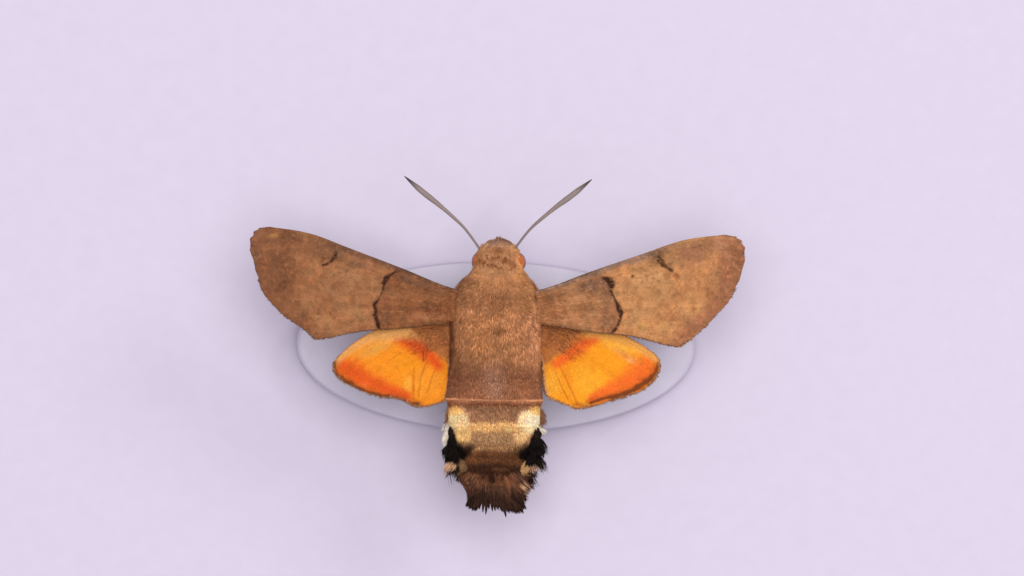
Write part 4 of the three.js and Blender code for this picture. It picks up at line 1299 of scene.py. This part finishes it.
# %% Colours and patches of the forewing
# Colours of the base, the middle, the border and the leading edge.
FOREWING_COLOURS = {
    "right": ((183, 123, 80), (201, 139, 88), (165, 108, 75), (146, 114, 96)),
    # The left wing's colours are darker than the right's: painted shade, as the light falls from the upper
    # right.
    "left": ((154, 94, 57), (165, 110, 71), (138, 88, 58), (116, 80, 60)),
}
FOREWING_PATCHES = {
    "right": [
        (13.0, 6.20, 1.8, 0.9, 10, 0.55, 216, 160, 106), (13.5, 4.50, 2.5, 1.0, 5, 0.45, 210, 152, 98),
        (16.8, 8.40, 1.6, 0.9, 15, 0.80, 158, 108, 80), (15.2, 7.60, 1.0, 0.4, 15, 0.40, 206, 150, 98),
        (13.8, 8.20, 0.7, 0.5, 15, 0.70, 122, 82, 56),
        (11.75, 6.45, 0.19, 0.17, 0, 1.0, 96, 46, 28), (15.5, 6.55, 0.28, 0.24, -30, 0.80, 128, 68, 42),
        (14.8, 6.60, 0.4, 0.35, 0, 0.60, 158, 102, 66), (15.6, 4.80, 0.6, 0.5, 0, 0.40, 160, 108, 70),
        (15.2, 2.90, 0.9, 0.6, 0, 0.45, 168, 112, 72), (12.6, 2.10, 0.6, 0.5, 0, 0.45, 214, 158, 92),
        (14.2, 2.20, 0.5, 0.4, 0, 0.45, 212, 158, 94), (17.3, 4.30, 0.8, 0.8, 0, 0.45, 204, 148, 92),
        (19.2, 9.20, 0.6, 0.5, 0, 0.50, 196, 142, 102), (19.9, 9.95, 1.2, 0.2, 0, 0.60, 200, 144, 104),
        (15.6, 1.20, 1.0, 0.4, 10, 0.40, 176, 120, 78), (8.60, 5.60, 1.3, 0.6, 20, 0.75, 134, 98, 78),
        (7.40, 5.50, 0.4, 0.5, 40, 0.60, 112, 76, 52), (5.60, 4.90, 1.3, 0.25, 18, 0.55, 120, 80, 56),
        (6.20, 5.10, 0.6, 0.3, 0, 0.50, 200, 144, 98), (7.30, 4.50, 0.5, 0.3, 0, 0.45, 196, 140, 96),
        (7.40, 3.70, 1.6, 0.25, 0, 0.55, 138, 88, 56), (8.50, 3.10, 0.8, 0.4, 0, 0.45, 192, 136, 92),
        (9.60, 4.20, 0.5, 1.3, 12, 0.55, 128, 86, 62), (9.80, 2.60, 0.6, 0.8, 0, 0.60, 122, 82, 60),
        (6.20, 2.50, 1.5, 0.3, 0, 0.40, 180, 120, 80), (4.60, 4.40, 0.5, 0.5, 0, 0.50, 122, 78, 50),
    ],
    "left": [
        (12.0, 2.90, 0.8, 0.4, -10, 0.35, 200, 142, 88), (12.6, 5.90, 1.6, 0.6, 10, 0.50, 188, 132, 90),
        (13.5, 4.60, 1.8, 0.5, 5, 0.40, 184, 128, 88), (16.2, 8.30, 1.5, 0.8, 15, 0.70, 138, 90, 63),
        (13.9, 7.90, 0.7, 0.6, 15, 0.55, 128, 88, 62), (11.6, 7.00, 1.3, 0.4, 20, 0.50, 138, 96, 72),
        (18.5, 7.40, 0.9, 0.6, 0, 0.75, 114, 74, 48), (18.3, 5.20, 0.6, 1.2, 0, 0.50, 116, 76, 50),
        (19.3, 9.40, 0.35, 0.2, 0, 0.60, 186, 134, 70), (20.6, 8.80, 0.5, 1.0, 0, 0.40, 168, 114, 82),
        (15.2, 3.30, 0.8, 0.4, 0, 0.40, 142, 96, 66), (14.6, 2.00, 0.6, 0.5, 0, 0.40, 188, 134, 86),
        (15.2, 1.20, 1.2, 0.4, 5, 0.45, 144, 100, 70), (5.80, 3.55, 1.1, 0.35, 0, 0.85, 108, 66, 40),
        (7.40, 3.20, 0.9, 0.2, 0, 0.50, 118, 76, 50), (5.40, 4.35, 1.2, 0.25, 12, 0.50, 176, 120, 80),
        (7.20, 5.60, 1.7, 0.3, 20, 0.65, 112, 78, 58), (5.20, 4.90, 1.2, 0.2, 20, 0.50, 116, 82, 62),
        (5.60, 2.65, 1.4, 0.3, 0, 0.55, 178, 120, 80), (8.40, 4.60, 0.9, 0.4, 0, 0.40, 168, 114, 78),
        (9.60, 2.70, 0.6, 0.9, 5, 0.60, 112, 74, 52), (8.20, 2.40, 0.8, 0.4, 0, 0.40, 124, 82, 56),
        (7.00, 5.00, 2.0, 0.6, 18, 0.35, 124, 80, 54),
    ],
}
print("patches on the forewings:", {side: len(rows) for side, rows in FOREWING_PATCHES.items()})


# %% The forewing's colour
def forewing_tone(side, s, t, x, y):
    """Base, middle and border split by the dark line and the border line, then patches, marks and grain."""
    base, middle, rim, lead = (paint(*colour) for colour in FOREWING_COLOURS[side])
    wide_line, dark_line = np.add(DARK_LINE[side], [0, 0, 0.10]), np.multiply(DARK_LINE[side], [1, 1, 1.3])
    line, edge = np.array(DARK_LINE[side])[::-1], np.array(BORDER[side])
    here = np.stack([x, y], -1)
    inner = x - np.interp(y, line[:, 1], line[:, 0]) + 0.12 * mottle(here, 0.5, 61)
    border = x - np.interp(y, edge[:, 0], edge[:, 1]) + 0.5 * mottle(here, 1.0, 63)
    tone = np.broadcast_to(base, x.shape + (3,))
    tone = lay_over(tone, 0.35 * fade(inner, -0.9, -0.1), paint(104, 68, 48))
    tone = lay_over(tone, fade(inner, -0.1, 0.1), middle)
    tone = lay_over(tone, fade(border, -0.8, 0.8), rim)
    tone = lay_over(tone, 0.9 * fade(t + 0.03 * mottle(here, 0.8, 60), 0.17, 0.06) * fade(s, 0.85, 0.6), lead)
    tone = lay_over(tone, 0.6 * fade(t, 0.035, 0.01) * fade(s, 0.55, 0.4), paint(90, 64, 50))
    tone = lay_patches(tone, x, y, FOREWING_PATCHES[side], 0.45)
    tone = lay_over(tone, 0.55 * line_mask(x, y, wide_line, 59), paint(118, 72, 46))
    tone = lay_over(tone, 0.9 * line_mask(x, y, dark_line, 64), paint(44, 22, 13))
    tone = lay_over(tone, 0.85 * line_mask(x, y, EDGE_MARK[side], 65), paint(52, 28, 17))
    for row in PALE_LINES[side]:
        tone = lay_over(tone, 0.45 * line_mask(x, y, row, 55, 0.5, 0.3), 1.45 * rim)
    veins = vein_relief(FOREWING, s, t) * fade(s, 0.5, 0.7)
    tone = lay_over(tone, 0.22 * veins, 1.3 * rim)
    light, dark = mottle(here, 0.17, 69), mottle(here, 0.21, 70)
    tone = lay_over(tone, 0.30 * fade(light, 0.3, 0.8), 1.4 * middle)
    tone = lay_over(tone, 0.28 * fade(dark, 0.35, 0.85), paint(84, 46, 28))
    grain = 0.12 * mottle(here, 1.3, 62) + 0.17 * mottle(here, 0.5, 66) + 0.12 * mottle(here, 0.25, 67)
    fibre = 0.11 * mottle(np.stack([s * 9, t * 44], -1), 1.0, 68)
    fibre = fibre + 0.08 * mottle(np.stack([s * 24, t * 60], -1), 1.0, 57)
    warm = 0.05 * mottle(here, 0.8, 56)[..., None] * [1.0, -0.3, -1.0]
    return tone * (1 + (grain + fibre * (0.6 + 0.6 * fade(inner, 0.2, -0.2)))[..., None] + warm)


# %% Where the hindwing's marks are
DARK_MARGIN = {
    "right": [(14.1, -1.0, 0.06), (14.0, -1.75, 0.18), (13.5, -2.4, 0.27), (12.72, -2.9, 0.26),
              (12.0, -3.4, 0.24), (11.1, -3.8, 0.22), (10.25, -4.0, 0.2), (9.35, -4.2, 0.14),
              (8.3, -4.6, 0.08)],
    "left": [(13.9, -1.45, 0.08), (13.8, -2.4, 0.2), (13.3, -2.92, 0.24), (12.5, -3.3, 0.23),
             (11.8, -3.62, 0.14), (11.1, -3.87, 0.08), (10.45, -4.12, 0.15), (9.75, -4.3, 0.22),
             (9.0, -4.32, 0.14), (8.2, -4.5, 0.08), (7.5, -4.8, 0.12), (6.6, -4.92, 0.14)],
}
# Broad soft streaks of red, and how strongly each covers.
STREAK_DEPTHS = (0.75, 0.65, 0.9)
RED_STREAKS = {
    "right": [[(13.4, -0.8, 0.6), (12.5, -1.6, 0.85), (11.3, -2.6, 0.75), (9.7, -3.4, 0.45),
               (8.4, -4.1, 0.3)],
              [(13.7, -1.7, 0.5), (12.7, -2.5, 0.65), (11.4, -3.4, 0.6), (9.9, -3.95, 0.5),
               (8.5, -4.4, 0.35)],
              [(5.4, -1.2, 0.45), (6.4, -0.25, 0.7), (7.4, 0.5, 0.7), (8.7, 1.0, 0.35)]],
    "left": [[(13.1, -1.5, 0.5), (12.2, -2.0, 0.75), (11.0, -2.8, 0.6), (9.4, -3.5, 0.5), (7.6, -4.2, 0.35)],
             [(13.4, -2.1, 0.5), (12.4, -2.7, 0.6), (11.1, -3.4, 0.55), (9.6, -3.9, 0.5), (7.7, -4.5, 0.4)],
             [(4.9, -1.6, 0.4), (5.9, -0.45, 0.7), (7.0, 0.3, 0.7), (8.5, 0.65, 0.35)]],
}
FOLDS = {
    "right": [[(5.5, -1.3, 0.04), (6.1, -2.4, 0.09), (6.7, -3.6, 0.08), (7.2, -4.7, 0.12)],
              [(5.2, -1.8, 0.03), (5.8, -3.2, 0.06), (6.4, -4.3, 0.07)]],
    "left": [[(7.0, -1.8, 0.04), (7.05, -3.0, 0.09), (7.0, -4.6, 0.10)],
             [(5.9, -1.2, 0.05), (6.4, -2.6, 0.06), (6.6, -4.3, 0.07)],
             [(5.0, -1.5, 0.05), (5.5, -2.8, 0.06), (5.8, -3.9, 0.05)],
             [(8.2, -0.5, 0.03), (9.3, -1.4, 0.05), (10.2, -2.1, 0.03)]],
}

# %% Colours and patches of the hindwing
HINDWING_PATCHES = {
    "right": [
        (7.8, -2.9, 1.5, 1.2, 10, 0.9, 255, 174, 52), (5.0, -3.0, 0.7, 1.2, 0, 0.8, 252, 176, 66),
        (10.7, 0.4, 1.4, 0.5, -22, 0.9, 255, 182, 78), (11.6, -0.6, 1.3, 0.3, -28, 0.6, 246, 164, 92),
        (6.3, -2.6, 0.4, 1.2, 25, 0.6, 255, 150, 42), (7.3, -4.75, 0.4, 0.2, 0, 0.8, 168, 92, 40),
        (11.3, -0.50, 0.45, 0.16, -35, 0.6, 224, 132, 60), (11.75, -0.9, 0.35, 0.2, -30, 0.6, 244, 196, 140),
    ],
    "left": [
        (10.4, -0.2, 1.5, 0.5, -20, 0.9, 238, 166, 80), (5.4, -3.3, 1.0, 1.1, 0, 0.7, 252, 158, 52),
        (7.6, -1.5, 1.3, 0.8, 0, 0.6, 255, 158, 32), (7.5, -3.2, 0.35, 0.7, 10, 0.7, 255, 178, 70),
        (6.5, -3.2, 0.3, 1.0, 0, 0.5, 255, 170, 62), (11.3, -3.35, 0.3, 0.22, 0, 0.6, 240, 170, 110),
    ],
}
# The tan strip along the leading edge: places across, places along where it begins, and its colour.
LEADING_STRIP = {"right": ([5, 8, 10, 12, 13, 14], [1.7, 1.2, 1.1, 0.35, -0.2, -1.0], (222, 160, 96)),
                 "left": ([5, 7, 9, 11, 12.5, 13.8], [1.1, 0.75, 0.75, 0.4, -0.45, -1.7], (216, 158, 102))}
ORANGE = {"right": (253, 158, 38), "left": (249, 146, 38)}
RED = {"right": (244, 100, 46), "left": (228, 78, 32)}
# How much the whole wing is warmed, in red, green and blue, and where along the body its brown root begins.
GLOW = {"right": (1.09, 1.07, 0.80), "left": (1.05, 1.04, 0.82)}
ROOT_START = {"right": -1.0, "left": -0.75}


# %% The hindwing's colour
def hindwing_tone(side, s, t, x, y):
    """Orange, then yellower patches, red streaks, a tan leading strip, the brown root, folds, dark margin."""
    here = np.stack([x, y], -1)
    tone = lay_patches(plain(x.shape, *ORANGE[side]), x, y, HINDWING_PATCHES[side], 0.6)
    for number, (streak, depth) in enumerate(zip(RED_STREAKS[side], STREAK_DEPTHS)):
        tone = lay_over(tone, depth * line_mask(x, y, streak, 79 + number, 0.2, 0.62), paint(*RED[side]))
    across, along, tan = LEADING_STRIP[side]
    strip = y - np.interp(x, across, along) + 0.1 * mottle(here, 0.5, 71)
    tone = lay_over(tone, 0.9 * fade(strip, -0.55, 0.3), 1.2 * paint(*tan))
    tone = lay_over(tone, 0.7 * fade(t, 0.05, 0.0) * fade(x, 10.0, 11.5), paint(176, 112, 76))
    tufted = 0.35 * mottle(np.stack([x + y, 4 * (x - y)], -1), 0.9, 72)
    root = y - ROOT_START[side] - 0.85 * (x - 5.0) + tufted
    tone = lay_over(tone, 0.95 * fade(root, -0.35, 0.45) * fade(x, 9.0, 7.0), paint(178, 108, 68))
    tone = lay_over(tone, 0.5 * fade(root, 1.0, 2.4) * fade(x, 6.5, 4.5), paint(132, 78, 50))
    for number, fold in enumerate(FOLDS[side]):
        tone = lay_over(tone, 0.6 * line_mask(x, y, fold, 73 + number, 0.2, 0.3), paint(192, 96, 26))
    wide_margin = np.add(DARK_MARGIN[side], [0, 0, 0.2])
    tone = lay_over(tone, 0.5 * line_mask(x, y, wide_margin, 58, 0.5, 0.4), paint(176, 78, 38))
    tone = lay_over(tone, 0.85 * line_mask(x, y, DARK_MARGIN[side], 76, 0.6, 0.35), paint(104, 54, 32))
    rays = mottle(np.stack([s * 4, t * 34], -1), 1.0, 77)
    return tone * (1 + 0.08 * rays + 0.07 * mottle(here, 0.3, 78))[..., None] * GLOW[side]


# %% Undersides
def under_tone(name, s, t, x, y):
    """Below, a forewing is rusty brown and browner at its rim. A hindwing is ochre, yellow along the body."""
    tone = plain(x.shape, 176, 112, 66)
    if name == "hindwing":
        tone = lay_bands(tone, x, [(9.0, 4.5, 214, 158, 82)])
        tone = lay_bands(tone, y, [(-3.2, -4.4, 140, 86, 56)])
    else:
        tone = lay_bands(tone, x, [(10.0, 5.0, 150, 110, 84)])
        tone = lay_bands(tone, x + 0.3 * y, [(18.5, 21.5, 136, 88, 62)])
    rays = mottle(np.stack([s * 5, t * 36], -1), 1.0, 81)
    return tone * (1 + 0.08 * rays + 0.06 * mottle(np.stack([x, y], -1), 0.3, 82))[..., None]


# %% Finish of the wings
# Powder, the shade across each scale, and a shade of its own for every scale, multiplied.
wing_finish = Finish("wing scales", Roughness=0.65, Specular_IOR_Level=0.05)
shingle = wing_finish.cells(0.085)
powder = wing_finish.grain(0.12, 3, 0.88, 1.12)
across_scale = wing_finish.between(shingle.outputs["Distance"], 0.0, 0.8, 1.08, 0.86)
each_scale = wing_finish.between(shingle.outputs["Color"], 0.2, 0.8, 0.93, 1.07)
for shade in (across_scale, each_scale):
    powder = wing_finish.node("Math", {0: powder, 1: shade}, operation="MULTIPLY").outputs[0]
wing_finish.set("Base Color", wing_finish.scaled(wing_finish.tone(), powder))
wing_finish.bump(shingle.outputs["Distance"], -0.02, 0.8)

# %% Wing plates
# Edges, colour, share of the wing where the plate starts, and its numbers of rows and columns.
WINGS = {
    "forewing": (FOREWING, forewing_tone, 0.09, (190, 110)),
    "hindwing": (HINDWING, hindwing_tone, 0.12, (130, 120)),
}
# Where the plate ends, as shares of the way to the margin and to the trailing edge. The fringe goes on.
WING_END = 0.988
TRAIL_END = 0.985


def wing_rim(t):
    """How far out the plate reaches at t: it stops short of the fringe and wavers between the veins."""
    return WING_END - 0.006 * mottle(np.stack([t * 30, 0 * t], -1), 1.0, 83)


def wing_plate(name, side):
    """A closed plate: middle surface +- half the thickness. It is thick at the leading edge near the root and
    on the veins, thin at its rims, and pleated by a sine between them. The columns stand a little closer
    together at both edges, by a cosine."""
    wing, tone_of, start, (rows, columns) = WINGS[name]
    even = np.linspace(0, 1, columns)
    column = 0.7 * even + 0.3 * (0.5 - 0.5 * np.cos(np.pi * even))
    share, t = np.meshgrid(np.linspace(0, 1, rows), column * TRAIL_END, indexing="ij")
    s = start + (wing_rim(t) - start) * share
    middle = wing_surface(wing, side, s, t)
    veins = vein_relief(wing, s, t)
    pleats = np.sin(t * 2 * np.pi * 10) * 0.022 * fade(s, 0.25, 0.8) * np.sin(np.pi * t)
    middle[..., 2] += pleats + 0.03 * mottle(middle[..., :2], 1.6, 84)
    rim = np.minimum(1, np.minimum(share, 1 - share) * 18) * np.minimum(1, np.minimum(t, TRAIL_END - t) * 14)
    front = 0.10 * np.exp(-((t / 0.05) ** 2)) * (1 - s)
    half = 0.03 + 0.05 * np.sqrt(rim) + front * rim + 0.035 * veins * rim
    top = middle + half[..., None] * [0, 0, 1]
    low = middle - half[..., None] * [0, 0, 1]
    x, y = middle[..., 0], middle[..., 1]
    tones = np.concatenate([tone_of(side, s, t, x, y), under_tone(name, s, t, x, y)[:, ::-1]], 1)
    points, faces = shell(np.concatenate([top, low[:, ::-1]], 1))
    sheet = np.stack([0.48 * t + 0.01, share], -1)
    unwrap = np.concatenate([sheet, sheet[:, ::-1] + [0.5, 0]], 1)
    plate = mirrored((points, faces, tones.reshape(-1, 3), unwrap.reshape(-1, 2)), side)
    coat_piece(f"{name}_{side}_plate", name, plate, finish=wing_finish, replaces=(f"{name}_{side}",))


for side in SIDES:
    for name in WINGS:
        wing_plate(name, side)

# %% [markdown]
# ### Fringes
#
# Along its outer and trailing edges a wing ends in a fringe of long thin scales, a double row that gives the
# outline its soft and slightly torn look.


# %% Fringe scales
# Thickness of the scales and hairs of the wings.
THIN = 0.02


def wing_frame(wing, side, s, t):
    """Point, outward direction along the wing, backward direction, and the way up at s and t."""
    step = 1e-3
    point = wing_surface(wing, side, s, t)
    out = unit(wing_surface(wing, side, s + step, t) - wing_surface(wing, side, s - step, t))
    back = unit(wing_surface(wing, side, s, t + step) - wing_surface(wing, side, s, t - step))
    up = unit(np.cross(out, -back))
    return point, out, back, up


def fringe_row(name, side, count, edge, length, width, colour, cover):
    """A row of scales along the margin or the trailing edge, that run on outwards or backwards and lean in
    small groups. `cover` says how far their own colour hides the wing's."""
    wing, tone_of, _, _ = WINGS[name]
    walk = (np.arange(count) + rng.random(count)) / count
    if edge == "margin":
        t, s = 0.01 + 0.97 * walk, WING_END - 0.012 - 0.03 * rng.random(count)
    else:
        t, s = 0.955 + 0.02 * rng.random(count), 0.18 + 0.8 * walk
    point, out, back, up = wing_frame(wing, side, s, t)
    lean = 0.35 * mottle(np.stack([walk * 90, 0 * walk], -1), 1.0, 85) + jitter(count, 0.15)
    ahead = (out, back) if edge == "margin" else (back, out)
    way = unit(ahead[0] + ahead[1] * (lean + 0.1)[:, None])
    notch = 1 + 0.14 * mottle(np.stack([walk * 60, 0 * walk], -1), 1.0, 86)
    reach = spread(np.full(count, length), 0.3) * notch
    share = np.linspace(0, 1, 3)[None, :, None]
    lift = up * jitter(count, 0.05)[:, None]
    paths = point[:, None] + way[:, None] * reach[:, None, None] * share + lift[:, None] * (0.4 + share)
    tone = tone_of(side, s, t, point[:, 0], point[:, 1])
    tone = lay_over(tone, np.full(count, cover), paint(*colour)) * spread(np.ones(count), 0.2)[:, None]
    place = np.stack([0.5 * t, s], -1)
    width = spread(np.full(count, width), 0.3)
    return blades(paths, up, width, np.full(count, THIN), (0.9, 1.0), tone, place)


# Colours of the short and the long scales and how far each covers, then the lengths on the margin and the
# trailing edge. The long scales of the margin are longer by LONG_EXTRA.
FRINGES = {
    "forewing": ((160, 112, 80), 0.3, (200, 150, 112), 0.5, 0.20, 0.22),
    "hindwing": ((176, 110, 70), 0.5, (236, 184, 140), 0.65, 0.24, 0.36),
}
LONG_EXTRA = 0.08
for side in SIDES:
    for name, (short, short_cover, long, long_cover, on_margin, on_trail) in FRINGES.items():
        rows = [fringe_row(name, side, 1500, "margin", on_margin, 0.065, short, short_cover),
                fringe_row(name, side, 1400, "margin", on_margin + LONG_EXTRA, 0.055, long, long_cover),
                fringe_row(name, side, 1500, "trail", on_trail, 0.06, long, short_cover)]
        coat_piece(f"{name}_{side}_fringe", name, mirrored(joined_blades(rows), side), finish=wing_finish)

# %% [markdown]
# ### Hair on the wing roots
#
# Long soft hair from the body runs out over the root and the inner edge of each wing and hides the joint.


# %% Wing root hair
def root_hair(name, side, count, s_span, t_span, length, brown):
    """Hairs whose roots are densest close to the body. They run outwards, lean backwards in groups, and lift
    off the wing by a low arch. `brown` says how far their own brown hides the wing's colour."""
    wing, tone_of, _, _ = WINGS[name]
    s = within(s_span, rng.random(count) ** 2)
    t = within(t_span, rng.random(count))
    point, out, back, up = wing_frame(wing, side, s, t)
    lean = 0.35 + 0.3 * mottle(point[:, :2], 0.6, 87) + jitter(count, 0.2)
    way = unit(out + back * lean[:, None])
    reach = length * (0.4 + 0.8 * rng.random(count))[:, None, None]
    share = np.linspace(0, 1, 3)[None, :, None]
    stand = (0.04 + 0.08 * rng.random(count))[:, None, None]
    arch = up[:, None] * (0.05 + stand * share * (1.6 - share))
    paths = point[:, None] + way[:, None] * reach * share + arch
    middle = paths[:, 1]
    tone = tone_of(side, s, t, middle[:, 0], middle[:, 1])
    tone = 1.25 * lay_over(tone, np.full(count, brown), paint(170, 108, 70))
    tone = tone * spread(np.ones(count), 0.15)[:, None]
    width = spread(np.full(count, 0.07), 0.3)
    place = np.stack([t, s], -1)
    return blades(paths, up, width, np.full(count, THIN), (0.8, 1.0), tone, place)


for side in SIDES:
    coat_piece(f"root_hair_{side}", "coat", mirrored(joined_blades([
        root_hair("forewing", side, 900, (0.11, 0.24), (0.05, 0.95), 0.6, 0.3),
        root_hair("hindwing", side, 1500, (0.12, 0.40), (0.15, 0.55), 0.9, 0.2),
    ]), side))

# %% [markdown]
# ## Legs
#
# In flight a hawk moth tucks its legs under the body. Each one is a thigh, a shin with spurs and a slender
# foot of five joints that ends in two claws, and all of it is covered with short pale scales.

# %% Joints and widths of the legs
# Hip, knee, ankle and toe of the right legs. Heights count from the thorax's middle.
LEGS = {
    "fore": [(1.4, 5.0, -1.75), (1.95, 6.8, -3.5), (1.8, 4.9, -4.15), (1.6, 2.9, -4.2)],
    "mid": [(2.2, 3.0, -2.1), (3.65, 1.4, -3.45), (3.2, -1.9, -3.7), (2.6, -5.0, -3.45)],
    "hind": [(1.6, 0.8, -2.2), (2.0, -1.7, -3.55), (1.75, -5.2, -3.35), (1.5, -8.6, -2.95)],
}
# Half widths at shares of the length, number of scales, their length, how far they stand off, colour.
LEG_PARTS = {
    "femur": ([(0, 0.25), (0.15, 0.36), (0.6, 0.33), (0.93, 0.2), (1, 0.15)],
              420, 0.35, 0.12, (190, 172, 154)),
    "tibia": ([(0, 0.14), (0.12, 0.2), (0.6, 0.23), (0.95, 0.18), (1, 0.1)],
              380, 0.32, 0.10, (168, 142, 120)),
}
FOOT_JOINTS = 5
# Places along the shin where a pair of spurs stands, how far each spur points aside, and its length.
SPUR_PLACES = {"fore": [], "mid": [0.94], "hind": [0.62, 0.94]}
SPUR_PAIR = ((0.4, 0.8), (-0.4, 0.6))
claw_finish = Finish("claw", Roughness=0.3, Specular_IOR_Level=0.5)
horn = claw_finish.grain(0.06, 2)
claw_finish.set("Base Color", claw_finish.mixed(horn, paint(58, 36, 24), paint(96, 62, 40)))


# %% Parts of a leg
def straight(start, end):
    """A straight path: start + (end - start) * share."""
    return lambda share: start + (end - start) * np.asarray(share)[..., None]


def foot_width(share):
    """Each joint of the foot swells towards its far end, and the joints get smaller towards the toe."""
    step = np.clip(share, 0, 0.999) * FOOT_JOINTS % 1
    return (0.13 - 0.05 * share) * (0.78 + 0.3 * fade(step, 0.1, 0.85) - 0.25 * fade(step, 0.92, 1.0))


def thorn(root, way, length, width, bend):
    """A small curved spike: root + length * (share * way + 0.45 * share^2 * bend), and its width falls to
    nothing as the square root of 1 - share."""
    share = np.linspace(0, 1, 9)
    bent = share[:, None] * unit(way) + 0.45 * share[:, None] ** 2 * unit(bend)
    return tube(root + length * bent, width * np.sqrt(1.001 - share), up=(0.13, 0.27, 0.95), sides=6)


def leg_tone(at, colour):
    """One colour with soft patches, lightened as a coat is."""
    return brightened(paint(*colour)) * (1 + 0.15 * mottle(at, 0.25, 91))[..., None]


def foot_tone(at):
    """Brown with pale patches."""
    brown = paint(150, 112, 84) * (1 + 0.15 * mottle(at, 0.2, 92))[..., None]
    return lay_over(brown, 0.6 * fade(mottle(at, 0.5, 93), 0.1, 0.4), paint(222, 200, 176))


def leg_thorns(pair, knee, ankle, toe):
    """Two claws at the toe and the spurs of the shin."""
    foot, shin = unit(toe - ankle), unit(ankle - knee)
    down = np.array([0, 0, -1])
    claws = [thorn(toe - 0.1 * foot, foot + [aside, 0, 0], 0.34, 0.045, down) for aside in (-0.6, 0.6)]
    spurs = [thorn(knee + (ankle - knee) * at, shin + [aside, 0, -0.35], size, 0.06, shin)
             for at in SPUR_PLACES[pair] for aside, size in SPUR_PAIR]
    return claws + spurs


# %% Legs
def leg(pair, side):
    """Makes the three coated pieces of a leg, and gives back its claws and spurs."""
    joints = [np.add(joint, (0, 0, AXIS)) for joint in LEGS[pair]]
    hip, knee, ankle, toe = joints
    pieces = {}
    for path_of, (part, (sizes, count, length, rise, colour)) in zip(
            (straight(hip, knee), straight(knee, ankle)), LEG_PARTS.items()):
        tone = lambda at, colour=colour: leg_tone(at, colour)
        pieces[part] = scaled_limb(path_of, sizes, sizes, count, length, 0.06, rise, tone)
    share = np.linspace(0, 1, 41)
    sizes = np.stack([share, foot_width(share)], -1)
    pieces["tarsus"] = scaled_limb(straight(ankle, toe), sizes, sizes, 420, 0.2, 0.045, 0.04, foot_tone)
    for part, bunch in pieces.items():
        coat_piece(f"{pair}leg_{side}_{part}_scales", "leg", mirrored(bunch, side),
                   replaces=(f"{pair}leg_{side}_{part}",))
    return leg_thorns(pair, knee, ankle, toe)


for side in SIDES:
    points, faces = joined([thorn for pair in LEGS for thorn in leg(pair, side)])
    points = points * [SIDES[side], 1, 1]
    make_piece(f"claws_{side}", points, outward(points, faces), claw_finish, "leg")

# %% [markdown]
# ## Display stand
#
# A flat oval plate with a rounded rim, in a soft grey-lilac lacquer, carries one short steel rod. The rod
# stands in a flared foot and ends in the breast. Both are profiles carried round a circle, and the plate's
# circle is squeezed into an oval.


# %% Turned forms
def turned_form(profile, squeeze=1.0, sides=180):
    """A lathe form: ring points = radius * (cos, squeeze * sin) at each height of the profile."""
    angle = circle(sides)
    radius, height = np.array(profile, float).T
    rings = np.stack([radius[:, None] * np.cos(angle), squeeze * radius[:, None] * np.sin(angle),
                      height[:, None] + 0 * angle], -1)
    return shell(rings)


def rounded(outer, top, radius, steps=9):
    """Profile of a disc on the floor with both rims rounded: quarter circles of the given radius, the upper
    one the lower one's mirror image."""
    turn = np.linspace(-np.pi / 2, 0, steps)
    rim = [(outer - radius + radius * np.cos(a), radius + radius * np.sin(a)) for a in turn]
    return rim + [(r, top - z) for r, z in rim[::-1]]


# %% Plate of the stand
# Half length, half depth, height and rounding of the plate.
PLATE_LENGTH, PLATE_DEPTH, PLATE_TOP, PLATE_ROUNDING = 17.8, 7.6, 3.0, 0.5
lacquer = Finish("grey lilac lacquer", Roughness=0.55, Specular_IOR_Level=0.3, Coat_Weight=0.1,
                 Coat_Roughness=0.4)
cloud = lacquer.between(lacquer.speckle(2.5, 4), 0.35, 0.65)
lacquer.set("Base Color", lacquer.mixed(cloud, paint(213, 206, 225), paint(219, 212, 231)))
lacquer.bump(lacquer.speckle(0.4, 3), 0.01)
plate = turned_form(rounded(PLATE_LENGTH, PLATE_TOP, PLATE_ROUNDING), PLATE_DEPTH / PLATE_LENGTH)
make_piece("stand_plate", *plate, lacquer, "base", ("stand_base",))

# %% Rod of the stand
steel = Finish("brushed steel", Metallic=1.0, Roughness=0.4)
brushed = steel.grain(0.05, 3)
steel.set("Base Color", steel.mixed(brushed, paint(196, 196, 202), paint(208, 208, 214)))
steel.bump(brushed, 0.004)
# Radius and height up the rod: its foot flares where it meets the plate.
ROD = [(1.7, 3.0), (1.7, 3.38), (1.64, 3.5), (1.25, 3.72), (1.0, 4.02), (0.84, 4.5), (0.8, 5.0), (0.8, 11.6)]
make_piece("stand_steel_rod", *turned_form(ROD, sides=64), steel, "rod", ("stand_rod",))
